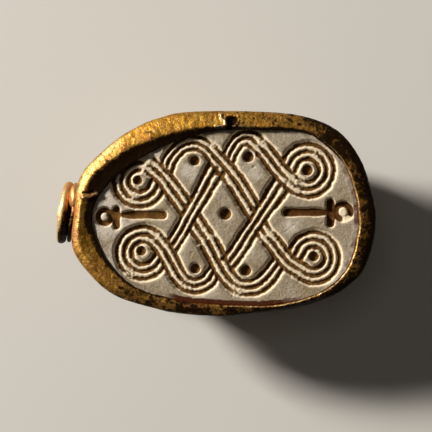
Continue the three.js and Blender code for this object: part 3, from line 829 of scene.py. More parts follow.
def stone_attributes(piece, base, back):
    """Marks that the stone's finish reads: earth and painted shade, pale edges, glaze with a
    painted sheen, and red earth.
    """
    x, y, z = points_of(piece).T
    on_face = ease(FACE_Z - 0.75, FACE_Z - 0.7, z)
    on_back = ease(BACK_Z, BACK_Z - 0.4, z)
    wall = (1 - on_face) * (1 - on_back)
    angle = np.arctan2(y, x)
    inside = lip_radius(angle) - np.hypot(x, y)
    # Darker in the cuts on face and back with earth and painted shade, and painted shade in the leg
    # cuts and under the band.
    hollow = on_face * base.sample(base.hollow, x, y) + on_back * back.sample(back.hollow, x, y)
    hollow += wall * ease(0.05, 0.2, leg_relief(angle, z)) + wall * 0.5 * ease(5.9, 6.35, z)
    put_attribute(piece, "hollow", np.clip(hollow, 0, 1))
    put_attribute(piece, "edge", on_face * base.sample(base.edge, x, y))
    # Pale glaze, and at some spots a painted sheen.
    glaze = ease(-6.0, -8.0, x) * ease(-0.6, 0.6, y + 1.5) * 0.75
    for x0, y0, reach, much in GLAZE_AND_SHEEN_SPOTS:
        glaze = np.maximum(glaze, much * np.exp(-((x - x0) ** 2 + (y - y0) ** 2) / reach**2))
    glaze = glaze + 0.4 * ease(0.7, 0.1, inside) * ease(0.6, 0.9, np.cos(angle - 0.1))
    put_attribute(piece, "glaze", on_face * np.clip(0.1 + glaze, 0, 1))
    joint = joint_share(angle, x, y) * ease(0.42, 0.22, inside + 0.08 * flat_lumps(x, y, 0.3, 17))
    joint = np.maximum(joint, 0.45 * in_right_cross(x, y) * np.clip(hollow, 0, 1))
    put_attribute(piece, "joint", on_face * joint)


def in_right_cross(x, y):
    """1 over the right-hand looped cross, where red earth lies too, but not over the coils."""
    up = np.abs(y - 0.1)
    cross = ease(3.6, 3.8, x) * ease(1.1, 1.0, up) * (up < x - 3.2)
    from_coils = np.min([np.hypot(x - x0, y - y0) for x0, y0 in RIGHT_COILS], axis=0)
    return cross * ease(1.9, 2.1, from_coils)


def joint_share(angle, x, y):
    """How much red-brown earth sits in the joint between stone and gold, round the outline."""
    low_side = ease(-0.6, -0.9, np.sin(angle)) * ease(-5.0, -3.0, x)
    right = 0.6 * ease(0.75, 0.95, np.cos(angle))
    share = np.maximum(np.maximum(low_side, right), 0.3)
    return share * (0.85 + 0.2 * flat_lumps(x, y, 0.5, 19))


def drill_through(piece):
    """Cuts the round hole that runs through the stone from end to end."""
    ring = np.linspace(0, 2 * math.pi, BORE_SIDES, endpoint=False)
    points = [(x, BORE_R * math.cos(a), BORE_Z + BORE_R * math.sin(a))
              for x in (-12, 12) for a in ring]
    n = BORE_SIDES
    faces = [(i, (i + 1) % n, n + (i + 1) % n, n + i) for i in range(n)]
    faces += [tuple(range(n))[::-1], tuple(range(n, 2 * n))]
    drill = mesh_piece("drill", points, faces)
    cut = piece.modifiers.new("bore", "BOOLEAN")
    cut.operation = "DIFFERENCE"
    cut.solver = "MANIFOLD"
    cut.object = drill
    bake_modifiers(piece)
    bpy.data.objects.remove(drill)


# ------------------------------------------------------------------ the gold mount
def crest_share(a):
    """How far out the crest of the rim lies, as a share of the way from the lip."""
    return round_rim(a, RIM_CREST, 1)


def crest_height(a):
    """Height of the crest over the engraved face."""
    return round_rim(a, RIM_CREST, 2)


def round_rim(a, rows, column):
    """Value of a column of a table of directions in any direction, smooth from row to row."""
    knots = np.radians([row[0] for row in rows] + [180])
    values = [row[column] for row in rows] + [rows[0][column]]
    a = (np.asarray(a) + math.pi) % (2 * math.pi) - math.pi
    k = np.clip(np.searchsorted(knots, a, side="right") - 1, 0, len(knots) - 2)
    t = (a - knots[k]) / (knots[k + 1] - knots[k])
    return np.interp(k + ease(0, 1, t), np.arange(len(values)), values)


def round_off(rows, times=2):
    """Cuts the corners of closed profiles, one profile in each column."""
    for _ in range(times):
        ahead = np.roll(rows, -1, axis=0)
        rows = np.stack([0.75 * rows + 0.25 * ahead, 0.25 * rows + 0.75 * ahead], 1)
        rows = rows.reshape(-1, *rows.shape[2:])
    return rows


def band():
    """The rolled gold band with its tongue, hammered, dented and creased."""
    a = crowded_angles(BAND_PROFILES)
    rows = round_off(band_profile(a))
    radius, z = rows[..., 0], rows[..., 1]
    points = np.stack([radius * np.cos(a), radius * np.sin(a), z], -1)
    points = points.transpose(1, 0, 2).reshape(-1, 3)
    points = points + hammered(points)
    faces = closed_faces(len(a), len(rows))
    tongue_points, tongue_faces = tongue(len(points))
    piece = mesh_piece("gold_band", np.vstack([points, tongue_points]), [*faces, *tongue_faces])
    gold_attributes(piece)
    return piece


def band_profile(a):
    """Sections of the band in the given directions: from the lip over the crest of the roll, down
    the outside to the lower edge and back up the inside."""
    spot = np.stack([np.cos(a) * 9, np.sin(a) * 6, 0 * a], 1)
    lip = lip_radius(a) + 0.045 * lumps(spot, 0.5, 81) + 0.03 * lumps(spot, 0.2, 82)
    lip += LIP_OUT * ease(0.8, 0.97, np.cos(a - LIP_OUT_AT))
    outer = mount_radius(a) + 0.02
    wall = stone_radius(a) + CLEAR
    crest = lip + (outer - lip) * crest_share(a) + 0.05 * lumps(spot, 1.1, 83)
    crest = np.maximum(crest, lip + 0.1)
    tall = crest_height(a) + 0.025 * lumps(spot, 0.9, 84)
    skin = wall + SHEET
    under = FACE_Z + CLEAR + 0.01
    edge_in, edge_up = BAND_EDGE
    profile = [
        (lip, under), (lip - 0.01, under + 0.07), (lip + 0.04, under + 0.14),
        (lip + 0.45 * (crest - lip), FACE_Z + 0.6 * tall), (crest - 0.06, FACE_Z + 0.95 * tall),
        (crest + 0.08, FACE_Z + tall), (crest + 0.34 * (outer - crest), FACE_Z + 0.86 * tall),
        (crest + 0.7 * (outer - crest), FACE_Z + 0.52 * tall),
        (outer - 0.06, FACE_Z + 0.05), (outer, FACE_Z - 0.15), (outer, FACE_Z - 0.4),
        (np.maximum(outer - 0.14, skin), FACE_Z - 0.66), (skin, FACE_Z - 1.0),
        (skin, BAND_Z + edge_up), (skin - edge_in, BAND_Z), (wall + edge_in, BAND_Z),
        (wall, BAND_Z + edge_up), (wall, FACE_Z - CHAMFER), (wall - 0.2, under),
    ]
    return np.array([np.stack([r, z + 0 * a], -1) for r, z in profile])


def crowded_angles(count):
    """Directions round the rim, closer together at the torn pit and at the fold."""
    a = np.linspace(-math.pi, math.pi, 6000, endpoint=False)
    crowd = 1 + 2.2 * np.exp(-(((a - PIT_AT) / 0.11) ** 4))
    crowd += 1.6 * np.exp(-(((a - FOLD_AT) / 0.07) ** 4))
    total = np.cumsum(crowd)
    return np.interp(np.arange(count) * total[-1] / count, total - total[0], a)


def far_from(points, stations):
    """Distance in the XY plane from each point to a line through stations."""
    best = np.full(len(points), 1e9)
    for (x0, y0), (x1, y1) in zip(stations, stations[1:]):
        dx, dy = x1 - x0, y1 - y0
        t = ((points[:, 0] - x0) * dx + (points[:, 1] - y0) * dy) / (dx * dx + dy * dy)
        t = np.clip(t, 0, 1)
        reach = np.hypot(points[:, 0] - x0 - t * dx, points[:, 1] - y0 - t * dy)
        best = np.minimum(best, reach)
    return best


def ridge(points, stations, half):
    """1 on a line through stations, falling off past its half width."""
    return np.exp(-((far_from(points, stations) / half) ** 2))


def patch(points, x, y, reach_x, reach_y):
    """1 at a place seen from above, falling off past its reach."""
    return np.exp(-(((points[:, 0] - x) / reach_x) ** 2) - ((points[:, 1] - y) / reach_y) ** 2)


def beside(angle, degrees, reach):
    """1 in a direction, falling off past a reach in radians."""
    return np.exp(-(((angle - math.radians(degrees)) / reach) ** 2))


def torn_hole(points):
    """1 inside the torn hole of the upper rim, 0 outside it."""
    x, y = points[:, 0], points[:, 1]
    ragged = 0.05 * lumps(points, 0.2, 99)
    oval = np.hypot((x - PIT_CENTRE[0]) / PIT_HALF[0], (y - PIT_CENTRE[1]) / PIT_HALF[1])
    oval = oval - 1 + ragged / (sum(PIT_HALF) / 2)
    notch = far_from(points, NOTCH) / NOTCH_HALF - 1 + ragged / NOTCH_HALF
    return ease(0.18, -0.18, np.minimum(oval, notch))


def hammered(points):
    """Dents, the torn pit on the upper rim and the crease on the left slope."""
    angle = np.arctan2(points[:, 1], points[:, 0])
    out = np.stack([np.cos(angle), np.sin(angle), 0 * angle], 1)
    free = ease(0.0, 0.1, np.hypot(points[:, 0], points[:, 1]) - stone_radius(angle) - CLEAR - 0.05)
    top = ease(FACE_Z - 0.1, FACE_Z + 0.2, points[:, 2])
    dents = 0.03 * lumps(points, 1.3, 91) + 0.018 * lumps(points, 0.5, 92)
    dents += 0.013 * lumps(points, 0.25, 93) + 0.008 * lumps(points, 0.14, 98)
    move = out * (free * dents)[:, None] * 0.7
    move[:, 2] += top * dents
    torn = torn_hole(points)
    for stations, high, half in TORN_RIDGES:
        move[:, 2] += top * (1 - torn) * high * ridge(points, stations, half)
    move[:, 2] -= torn * np.clip(points[:, 2] + move[:, 2] - FACE_Z - 0.06, 0, 1)
    upper = ease(FACE_Z, FACE_Z + 0.1, points[:, 2])
    flap = ridge(points, FOLD_FLAP, FLAP_HALF)
    move[:, 2] += upper * (0.2 * flap - 0.14 * ridge(points, FOLD_CRACK, 0.07))
    return move


def tongue(first):
    """Plate of sheet gold that carries the collar, with a round hole for the ring's wire."""
    turn = np.linspace(0, 2 * math.pi, TONGUE_SIDES, endpoint=False)
    y, z = np.cos(turn), np.sin(turn)
    room = (BAND_Z + 0.4 - BORE_Z) / np.maximum(z, 1e-6)
    side = TONGUE_HALF / np.maximum(np.abs(y), 1e-6)
    far = np.where(z > 0, np.minimum(room, side), TONGUE_HALF)
    outward = range(TONGUE_RINGS)
    points = []
    for x, order in zip(TONGUE_X, (outward, reversed(outward))):
        for k in order:
            r = TONGUE_HOLE_R + (far - TONGUE_HOLE_R) * k / (TONGUE_RINGS - 1)
            place = np.stack([np.full_like(r, x), COLLAR_Y + r * y, BORE_Z + r * z], 1)
            place[:, 0] += 0.02 * lumps(place, 0.7, 95)
            points.append(place)
    return np.vstack(points), closed_faces(len(points), TONGUE_SIDES, first, turned=True)


def rim_painted_shade(angle):
    """Painted shade on the gold round the rim: least at the upper left, most at the lower right,
    away from the light.
    """
    dim = ease(0.75, -0.3, np.cos(angle - math.radians(150)))
    dim = dim * (0.68 - 0.3 * beside(angle, 72, 0.5) - 0.12 * beside(angle, -5.73, 0.25))
    return dim + 0.28 * beside(angle, -140, 0.3)


def painted_lip_highlight(points, angle, inward):
    """Painted highlight in a thin line along the lip, strongest at the lower right."""
    line = ease(0.075, 0.02, np.abs(inward - 0.1 - 0.04 * lumps(points, 0.7, 110)))
    line *= ease(0.1, 0.9, np.cos(angle - math.radians(-30)))
    uneven = 0.8 + 0.5 * lumps(points, 0.4, 109)
    return line * (ease(FACE_Z + 0.08, FACE_Z + 0.16, points[:, 2]) * uneven)


def gold_attributes(piece):
    """Marks that the mount's finish reads: painted shade with some grime, painted highlights,
    orange tints and red earth.
    """
    p = points_of(piece)
    angle = np.arctan2(p[:, 1], p[:, 0])
    inward = np.hypot(p[:, 0], p[:, 1]) - lip_radius(angle)
    into = inward / (mount_radius(angle) - lip_radius(angle))
    # Painted shade on the rolled-in side of the rim, which the light misses.
    shaded = ease(0.17, -0.16, into - round_rim(angle, RIM_SHADE, 1))
    shaded *= ease(FACE_Z - 0.1, FACE_Z, p[:, 2])
    dim = rim_painted_shade(angle)
    line = painted_lip_highlight(p, angle, inward)
    flap = ridge(p, FOLD_FLAP, FLAP_HALF)

    # Painted shade: darker towards the bottom, on the rolled-in side and round the rim away from
    # the light.
    shade_and_grime = 0.3 * ease(FACE_Z + 0.25, FACE_Z - 0.4, p[:, 2]) + shaded + dim
    # Random grime and flecks, painted shade on the outer slope at the right, and the darker patch.
    shade_and_grime += 0.16 * lumps(p, 0.9, 97) + 0.22 * lumps(p, 0.3, 96)
    shade_and_grime += 0.3 * ease(0.45, 0.9, into) * ease(0.3, 0.9, np.cos(angle + 0.2))
    shade_and_grime += 0.45 * ease(0.4, 0.75, lumps(p, 0.22, 113)) + 0.5 * patch(p, *DARK_PATCH)
    # No shade where the painted lip highlight and the lit flap lie.
    shade_and_grime = shade_and_grime * (1 - np.clip(line, 0, 1)) * (1 - flap)
    # The torn hole and the crack are painted dark as shade.
    crack = ridge(p, FOLD_CRACK, 0.06)
    shade_and_grime = np.maximum(shade_and_grime, 1.3 * np.maximum(torn_hole(p), 0.7 * crack))
    # Stored as the hollow mark, though most of it is painted shade on the open rim.
    put_attribute(piece, "hollow", np.clip(shade_and_grime, 0, 1.3))

    # Painted highlight along the crest, strongest at the upper left where the light falls.
    worn = ease(-6.2, -8.2, p[:, 0]) * ease(-3.5, -1.0, p[:, 1]) * (1 - shaded)
    worn *= 0.18 * ease(0.16, 0.0, np.abs(into - crest_share(angle) - 0.1))
    worn = np.maximum(worn, 0.36 * ridge(p, CREST_HIGHLIGHT, 0.28))
    # Painted highlights: the crest, the torn edges, glints, the lit flap and the lip line.
    torn = sum(much * ridge(p, stations, half) for stations, half, much in TEAR_HIGHLIGHTS)
    painted_glints = 0.3 * ease(0.45, 0.75, lumps(p, 0.18, 112)) * (1 - shaded)
    bright = np.max([worn, torn, painted_glints, 0.6 * flap, 0.6 * line], axis=0)
    put_attribute(piece, "edge", np.clip(bright, 0, 1))

    # Orange tints, deepened where the rim has painted shade.
    orange = 0.5 * np.clip(lumps(p, 0.55, 108), 0, 1) + 0.35 * dim
    orange += sum(much * patch(p, *place) for *place, much in ORANGE_PATCHES)
    put_attribute(piece, "orange", np.clip(orange, 0, 1))

    earth = joint_share(angle, p[:, 0], p[:, 1]) * ease(0.22, 0.0, inward)
    put_attribute(piece, "joint", earth * ease(FACE_Z + 0.3, FACE_Z + 0.12, p[:, 2]))


# ------------------------------------------------------------------ helpers for node trees
def node(tree, kind, links=None, **settings):
    """Adds a node, sets its properties and joins or sets its inputs."""
    made = tree.nodes.new(kind)
    for key, value in settings.items():
        setattr(made, key, value)
    for key, value in (links or {}).items():
        socket = made.inputs[key]
        if isinstance(value, bpy.types.NodeSocket):
            tree.links.new(value, socket)
        else:
            socket.default_value = value
    return made


def maths(tree, operation, *values):
    """Result of one operation on values and sockets."""
    return node(tree, "ShaderNodeMath", dict(enumerate(values)), operation=operation).outputs[0]


def blend_colors(tree, factor, first, second):
    """The first colour where the factor is 0 and the second where it is 1."""
    mix = node(tree, "ShaderNodeMix", {0: factor, 6: first, 7: second}, data_type="RGBA")
    return mix.outputs[2]


def new_tree(name, kind, inputs, outputs):
    """A node group with named sockets; returns it with what it is given and its result."""
    tree = bpy.data.node_groups.new(name, kind)
    for label, socket_type, value in inputs:
        socket = tree.interface.new_socket(label, in_out="INPUT", socket_type=socket_type)
        if value is not None:
            socket.default_value = value
    for label, socket_type in outputs:
        tree.interface.new_socket(label, in_out="OUTPUT", socket_type=socket_type)
    given = tree.nodes.new("NodeGroupInput").outputs
    result = tree.nodes.new("NodeGroupOutput").inputs
    return tree, given, result


COLOR, FLOAT, VECTOR = "NodeSocketColor", "NodeSocketFloat", "NodeSocketVector"
GEOMETRY, MATERIAL = "NodeSocketGeometry", "NodeSocketMaterial"


# ------------------------------------------------------------------ the wire collar
def wound_collar_tree():
    """Two turns of wire round a short tube: rings swept with a round section."""
    tree, given, result = new_tree("wound_collar", "GeometryNodeTree", [
        ("Ring Radius", FLOAT, 1.84 * MM), ("Wire Radius", FLOAT, 0.33 * MM),
        ("Lean Above", FLOAT, WIRE_LEAN[0]), ("Lean Below", FLOAT, WIRE_LEAN[1]),
        ("Strand Ring Radius", FLOAT, 1.95 * MM), ("Strand Radius", FLOAT, 0.14 * MM),
        ("Strand Lean Above", FLOAT, 0.05), ("Strand Lean Below", FLOAT, 0.19),
        ("Strand Offset", FLOAT, 0.8 * MM), ("Material", MATERIAL, None),
    ], [("Geometry", GEOMETRY)])
    # The thick turn comes first and the thin strand beside it second.
    parts = []
    across = node(tree, "ShaderNodeSeparateXYZ",
                  {"Vector": node(tree, "GeometryNodeInputPosition").outputs["Position"]})
    for turn in ("", "Strand "):
        wire = given["Strand Radius" if turn else "Wire Radius"]
        circle = node(tree, "GeometryNodeCurvePrimitiveCircle",
                      {"Resolution": 160, "Radius": given[turn + "Ring Radius"]})
        offset = given["Strand Offset"] if turn else 0.0
        for part, half in (("MAXIMUM", "Lean Above"), ("MINIMUM", "Lean Below")):
            side = maths(tree, part, across.outputs["X"], 0.0)
            offset = maths(tree, "MULTIPLY_ADD", side, given[turn + half], offset)
        leaning = node(tree, "GeometryNodeSetPosition", {
            "Geometry": circle.outputs["Curve"],
            "Offset": node(tree, "ShaderNodeCombineXYZ", {"Z": offset}).outputs["Vector"]})
        section = node(tree, "GeometryNodeCurvePrimitiveCircle",
                       {"Resolution": 24, "Radius": wire})
        swept = node(tree, "GeometryNodeCurveToMesh",
                     {"Curve": leaning.outputs["Geometry"],
                      "Profile Curve": section.outputs["Curve"]})
        parts.append(swept.outputs["Mesh"])
    joined = node(tree, "GeometryNodeJoinGeometry")
    for shape in reversed(parts):
        tree.links.new(shape, joined.inputs["Geometry"])
    real = node(tree, "GeometryNodeRealizeInstances", {"Geometry": joined.outputs["Geometry"]})
    finish = node(tree, "GeometryNodeSetMaterial",
                  {"Geometry": real.outputs["Geometry"], "Material": given["Material"]})
    tree.links.new(finish.outputs["Geometry"], result["Geometry"])
    return tree


def grown(name, tree, values):
    """Runs a Geometry Nodes tree once and keeps its result as a plain mesh object."""
    holder = link(bpy.data.objects.new(name, bpy.data.meshes.new(name)))
    maker = holder.modifiers.new("maker", "NODES")
    maker.node_group = tree
    sockets = {s.name: s.identifier for s in tree.interface.items_tree if s.in_out == "INPUT"}
    for label, value in values.items():
        maker[sockets[label]] = value
    bake_modifiers(holder)
    return holder


def wire_turns(gold):
    """The turns of wire, a little uneven, about the X axis: points and faces."""
    wires = grown("wire_turns", wound_collar_tree(), {"Material": gold})
    p = points_of(wires)
    turned = np.stack([p[:, 2] + TURN_X, p[:, 0], p[:, 1]], 1)
    turned += 0.03 * np.stack([lumps(turned, 0.8, s) for s in (101, 102, 103)], 1)
    faces = [tuple(f.vertices) for f in wires.data.polygons]
    bpy.data.objects.remove(wires)
    return turned, faces


def sleeve(first):
    """Short tube inside the wire turns, about the X axis: points and faces."""
    turn = np.linspace(0, 2 * math.pi, 72, endpoint=False)
    inner, outer = SLEEVE_R
    far, near = SLEEVE_X
    edge = SLEEVE_EDGE
    profile = [(inner, far + edge), (inner + edge, far), (outer - edge, far), (outer, far + edge),
               (outer, near - edge), (outer - edge, near), (inner + edge, near),
               (inner, near - edge)]
    points = [(x, r * math.cos(t), r * math.sin(t)) for r, x in profile for t in turn]
    return np.array(points), closed_faces(len(profile), len(turn), first)


def solder(first):
    """Run of solder between the collar and the mount, a lump kept outside the band."""
    rows, steps = 24, 48
    tilt = np.linspace(0, math.pi, rows + 2)[1:-1]
    turn = np.linspace(0, 2 * math.pi, steps, endpoint=False)
    body = [(math.sin(t) * math.cos(p), math.sin(t) * math.sin(p), math.cos(t))
            for t in tilt for p in turn]
    lump = np.array([(0, 0, 1), *body, (0, 0, -1)])
    points = lump * (1 + 0.12 * lumps(lump, 0.5, 104))[:, None] * SOLDER_HALF + SOLDER_AT
    angle = np.arctan2(points[:, 1], points[:, 0])
    outside = stone_radius(angle) + CLEAR + SHEET + CLEAR
    room = np.maximum(np.hypot(points[:, 0], points[:, 1]), outside)
    points = np.stack([room * np.cos(angle), room * np.sin(angle), points[:, 2]], 1)

    around = np.arange(steps)
    starts = [first + 1 + k * steps for k in range(rows)]
    faces = [(first, starts[0] + i, starts[0] + (i + 1) % steps) for i in around]
    for upper, lower in zip(starts, starts[1:]):
        faces += list(wall_faces(upper + around, lower + around))
    last = starts[-1] + steps
    faces += [(last, starts[-1] + (i + 1) % steps, starts[-1] + i) for i in around]
    return points, faces


def collar(gold):
    """The wire collar with its sleeve and solder, as one object."""
    turns, turn_faces = wire_turns(gold)
    tube, tube_faces = sleeve(len(turns))
    points = np.vstack([turns, tube]) + (0, COLLAR_Y, BORE_Z)
    lump, lump_faces = solder(len(points))
    piece = mesh_piece("wire_collar_wound", np.vstack([points, lump]),
                       [*turn_faces, *tube_faces, *lump_faces])
    collar_attributes(piece)
    return piece


def collar_attributes(piece):
    """Marks that the wire's finish reads: painted shade between the turns and below, some grime,
    orange and painted pale highlights.
    """
    p = points_of(piece)
    up = p[:, 1] - COLLAR_Y
    away = p[:, 0] - TURN_X - WIRE_LEAN[0] * np.maximum(up, 0) - WIRE_LEAN[1] * np.minimum(up, 0)
    # Painted shade on the lower half and the inner side of the thick turn, away from the light.
    shaded = ease(0.6, -0.5, up) * ease(-0.12 + 0.1 * up, 0.16 + 0.1 * up, away)
    shaded = np.maximum(0.75 * shaded, 1.2 * ease(-0.8, -1.6, up) * ease(-0.3, -0.12, away))
    # Painted shade where the wire turns meet the sleeve.
    slot = ease(SLEEVE_R[1] + 0.1, SLEEVE_R[1], np.hypot(up, p[:, 2] - BORE_Z))
    shade_and_grime = 0.1 + 0.25 * lumps(p, 0.5, 105) + np.maximum(shaded, slot)
    put_attribute(piece, "hollow", np.clip(shade_and_grime, 0, 1.3))
    inward = ease(-0.1, 0.2, away)
    orange = 0.1 + 0.3 * lumps(p, 0.8, 107) + 0.7 * np.maximum(ease(1.2, 1.7, up), inward)
    solder_highlight = patch(p, *SOLDER_HIGHLIGHT)
    put_attribute(piece, "orange", np.clip(orange * (1 - solder_highlight), 0, 1))
    # Painted highlight of pale gold on the outer side of the turn, which faces the light, and on
    # the solder.
    pale = 0.8 - 0.8 * inward - 0.6 * ease(1.3, 1.8, up)
    put_attribute(piece, "edge", np.clip(np.maximum(pale, solder_highlight), 0, 1))
    put_attribute(piece, "joint", np.zeros(len(p)))


# ------------------------------------------------------------------ finishes
def noise(tree, place, scale, detail, roughness):
    """Value of a noise pattern."""
    return node(tree, "ShaderNodeTexNoise", {
        "Vector": place, "Scale": scale, "Detail": detail, "Roughness": roughness}).outputs[0]


def mottle_group():
    """Cloudy change of colour with fine grains over it, and the grains' height."""
    group, given, result = new_tree("mottle", "ShaderNodeTree", [
        ("Coordinates", VECTOR, None), ("Ground", COLOR, (0.4, 0.35, 0.3, 1)),
        ("Cloud", COLOR, (0.5, 0.45, 0.4, 1)), ("Cloud Scale", FLOAT, 600.0),
        ("Grain Scale", FLOAT, 9000.0), ("Grain Strength", FLOAT, 0.2),
    ], [("Color", COLOR), ("Height", FLOAT)])
    cloud = noise(group, given["Coordinates"], given["Cloud Scale"], 5.0, 0.6)
    spread = node(group, "ShaderNodeMapRange", {
        "Value": cloud, "From Min": 0.35, "From Max": 0.65})
    tint = blend_colors(group, spread.outputs[0], given["Ground"], given["Cloud"])
    grain = noise(group, given["Coordinates"], given["Grain Scale"], 3.0, 0.7)
    centred = maths(group, "SUBTRACT", grain, 0.5)
    bright = maths(group, "MULTIPLY_ADD", centred, given["Grain Strength"], 1.0)
    shade = node(group, "ShaderNodeVectorMath", {0: tint, "Scale": bright}, operation="SCALE")
    group.links.new(shade.outputs[0], result["Color"])
    group.links.new(grain, result["Height"])
    return group


def noisy_mask_group():
    """Mask of an amount broken up by noise, for earth, painted shade, glaze and its painted sheen,
    specks and rubbed edges.
    """
    group, given, result = new_tree("broken_up_mask", "ShaderNodeTree", [
        ("Coordinates", VECTOR, None), ("Hollow", FLOAT, 0.0), ("Break Up", FLOAT, 0.5),
        ("Scale", FLOAT, 3000.0),
    ], [("Mask", FLOAT)])
    centred = maths(group, "SUBTRACT", noise(
        group, given["Coordinates"], given["Scale"], 4.0, 0.65), 0.5)
    total = maths(group, "MULTIPLY_ADD", centred, given["Break Up"], given["Hollow"])
    mask = node(group, "ShaderNodeMapRange", {
        "Value": total, "From Min": 0.12, "From Max": 0.75}, interpolation_type="SMOOTHSTEP")
    group.links.new(mask.outputs[0], result["Mask"])
    return group


MOTTLE = mottle_group()
NOISY_MASK = noisy_mask_group()

STONE = ((0.275, 0.215, 0.135, 1), (0.39, 0.33, 0.25, 1))
# Brown of earth in the cuts, which also stands in for their shade.
EARTH_AND_SHADE = ((0.055, 0.023, 0.004, 1), (0.16, 0.075, 0.018, 1))
# Pale glaze, also used as a painted sheen.
GLAZE = (0.58, 0.52, 0.44, 1)
STONE_SPECK = (0.2, 0.15, 0.09, 1)
RUBBED_STONE = (0.78, 0.66, 0.48, 1)
RED_EARTH = (0.05, 0.011, 0.0015, 1)
RED_EARTH_ON_GOLD = (0.075, 0.014, 0.002, 1)
ORANGE_GOLD = (0.66, 0.28, 0.09, 1)
# Pale gold of painted highlights on crests, torn edges, the lip and the lit side of the wire.
PAINTED_HIGHLIGHT_GOLD = (0.95, 0.74, 0.42, 1)
# Near-black of painted shade on the gold, with some grime.
GOLD_SHADE_AND_GRIME = (0.016, 0.007, 0.0018, 1)


def new_material(name):
    """A material with its tree, its one shader and Object coordinates."""
    material = bpy.data.materials.new(name)
    material.use_nodes = True
    tree = material.node_tree
    shader = next(n for n in tree.nodes if n.bl_idname == "ShaderNodeBsdfPrincipled")
    place = node(tree, "ShaderNodeTexCoord").outputs["Object"]
    return material, tree, shader, place


def mottled(tree, place, ground, cloud, cloud_scale, grain_scale, grain_strength):
    """Colour and height of a mottled surface."""
    return node(tree, "ShaderNodeGroup", {
        "Coordinates": place, "Ground": ground, "Cloud": cloud, "Cloud Scale": cloud_scale,
        "Grain Scale": grain_scale, "Grain Strength": grain_strength}, node_tree=MOTTLE).outputs


def noisy_mask(tree, place, hollow, break_up, scale):
    """Mask broken up by noise: hollow is the name of an attribute, or a plain amount for all over.
    """
    if isinstance(hollow, str):
        hollow = attribute(tree, hollow)
    return node(tree, "ShaderNodeGroup", {
        "Coordinates": place, "Hollow": hollow, "Break Up": break_up, "Scale": scale},
        node_tree=NOISY_MASK).outputs["Mask"]


def attribute(tree, name):
    """A value stored at the points of the piece."""
    return node(tree, "ShaderNodeAttribute", attribute_name=name).outputs["Fac"]


def finish_surface(tree, shader, color, specular, height, distance):
    """Joins the colour and the bump of a surface to its shader."""
    tree.links.new(color, shader.inputs["Base Color"])
    shader.inputs["Specular IOR Level"].default_value = specular
    bump = node(tree, "ShaderNodeBump", {"Height": height, "Strength": 0.8, "Distance": distance})
    tree.links.new(bump.outputs["Normal"], shader.inputs["Normal"])


def steatite():
    """Grey-beige glazed steatite, earth and painted shade in its cuts, pale rubbed edges and a
    painted sheen on some glaze.
    """
    material, tree, shader, place = new_material("glazed_steatite")
    bare = mottled(tree, place, *STONE, cloud_scale=480.0, grain_scale=7000.0, grain_strength=1.7)
    earth = mottled(tree, place, *EARTH_AND_SHADE, cloud_scale=3200.0, grain_scale=9000.0, grain_strength=0.8)
    # Earth and painted shade in the cuts.
    earth_and_shade = noisy_mask(tree, place, "hollow", 0.6, 4200.0)
    color = bare["Color"]
    for mask, over in (
            (noisy_mask(tree, place, "glaze", 1.1, 2600.0), GLAZE),
            (noisy_mask(tree, place, 0.12, 1.8, 7500.0), STONE_SPECK),
            (noisy_mask(tree, place, "edge", 0.35, 5200.0), RUBBED_STONE),
            (earth_and_shade, earth["Color"]),
            (noisy_mask(tree, place, "joint", 0.5, 3000.0), RED_EARTH)):
        color = blend_colors(tree, mask, color, over)
    finish_surface(tree, shader, color, 0.12, bare["Height"], 0.00006)
    rough = node(tree, "ShaderNodeMapRange", {"Value": earth_and_shade, "To Min": 0.5, "To Max": 0.9})
    tree.links.new(rough.outputs[0], shader.inputs["Roughness"])
    return material


def old_gold(name, ground, cloud, speck, grain_strength):
    """Worn high-karat gold: painted shade with some grime, painted highlights, orange tints and a
    pitted skin.
    """
    material, tree, shader, place = new_material(name)
    metal = mottled(tree, place, ground, cloud, 1100.0, 4600.0, grain_strength)
    painted_highlight = attribute(tree, "edge")
    shade_and_grime = noisy_mask(tree, place, "hollow", 1.3, 4600.0)
    earth = noisy_mask(tree, place, "joint", 0.5, 3000.0)
    color = metal["Color"]
    for mask, over in (
            (attribute(tree, "orange"), ORANGE_GOLD),
            (painted_highlight, PAINTED_HIGHLIGHT_GOLD),
            (noisy_mask(tree, place, 0.3, 2.2, 8000.0), speck),
            (shade_and_grime, GOLD_SHADE_AND_GRIME),
            (earth, RED_EARTH_ON_GOLD)):
        color = blend_colors(tree, mask, color, over)
    finish_surface(tree, shader, color, 0.06, metal["Height"], 0.00007)
    metallic = node(tree, "ShaderNodeMapRange", {
        "Value": maths(tree, "MAXIMUM", shade_and_grime, earth), "To Min": 1.0, "To Max": 0.25})
    tree.links.new(metallic.outputs[0], shader.inputs["Metallic"])
    matt = node(tree, "ShaderNodeMapRange", {
        "Value": metal["Height"], "From Min": 0.3, "From Max": 0.7, "To Min": 0.45,
        "To Max": 0.65})
    rough = maths(tree, "MULTIPLY_ADD", painted_highlight, -0.08, matt.outputs[0])
    tree.links.new(rough, shader.inputs["Roughness"])
    return material


# ------------------------------------------------------------------ building the seal
STEATITE = steatite()
GOLD = old_gold("hammered_gold", ground=(0.38, 0.18, 0.018, 1), cloud=(0.66, 0.38, 0.07, 1),
                speck=(0.24, 0.11, 0.016, 1), grain_strength=1.2)
GOLD_WIRE = old_gold("gold_wire", ground=(0.75, 0.42, 0.12, 1), cloud=(0.95, 0.68, 0.3, 1),
                     speck=(0.7, 0.4, 0.12, 1), grain_strength=0.5)

scarab = stone()
scarab.data.materials.append(STEATITE)
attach(scarab, "root")
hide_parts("scarab")

mount = band()
mount.data.materials.append(GOLD)
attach(mount, "root")
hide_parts("gold_mount")

wound = collar(GOLD_WIRE)
wound.data.materials.append(GOLD_WIRE)
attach(wound, "root")
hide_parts("wire_collar")


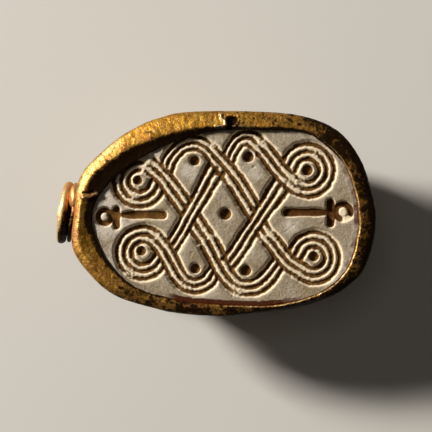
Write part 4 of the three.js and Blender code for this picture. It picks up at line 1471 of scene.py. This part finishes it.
# ------------------------------------------------------------------ floor, light, camera
LENS = 300.0
SENSOR = 36.0
VIEW_WIDTH = 29.79
AIM = (-0.655, -0.138)


def floor():
    """Plain pale floor under the seal."""
    bpy.ops.mesh.primitive_plane_add(size=1.2, location=(0, 0, 0))
    plane = bpy.context.object
    plane.name = "floor"
    material, _, shader, _ = new_material("floor_paper")
    shader.inputs["Base Color"].default_value = (0.62, 0.61, 0.59, 1)
    shader.inputs["Roughness"].default_value = 0.9
    plane.data.materials.append(material)


def soft_light(name, azimuth, elevation, distance, size, power, color):
    """Square soft light that looks at the seal from a direction in degrees."""
    data = bpy.data.lights.new(name, "AREA")
    data.shape = "SQUARE"
    data.size = size
    data.energy = power
    data.color = color
    lamp = link(bpy.data.objects.new(name, data))
    a, e = math.radians(azimuth), math.radians(elevation)
    way = Vector((math.cos(a) * math.cos(e), math.sin(a) * math.cos(e), math.sin(e)))
    lamp.location = way * distance + Vector((0, 0, FACE_Z * MM))
    lamp.rotation_euler = way.to_track_quat("Z", "Y").to_euler()


def dim_room():
    """Faint warm light from all round."""
    world = bpy.data.worlds.new("studio")
    world.use_nodes = True
    background = world.node_tree.nodes["Background"].inputs
    background["Color"].default_value = (1.0, 0.9, 0.76, 1)
    background["Strength"].default_value = 0.04
    bpy.context.scene.world = world


def camera_above():
    """Camera that looks straight down on the engraved face."""
    data = bpy.data.cameras.new("camera")
    data.lens = LENS
    data.sensor_width = SENSOR
    data.clip_start = 0.01
    camera = link(bpy.data.objects.new("camera", data))
    camera.location = (AIM[0] * MM, AIM[1] * MM, (FACE_Z + VIEW_WIDTH * LENS / SENSOR) * MM)
    bpy.context.scene.camera = camera


floor()
soft_light("key", azimuth=152, elevation=29, distance=0.5, size=0.08, power=4.5,
           color=(1.0, 0.94, 0.85))
soft_light("overhead", azimuth=120, elevation=80, distance=0.7, size=0.3, power=0.15,
           color=(1.0, 0.93, 0.84))
dim_room()
camera_above()
bpy.context.scene.view_settings.view_transform = "Standard"
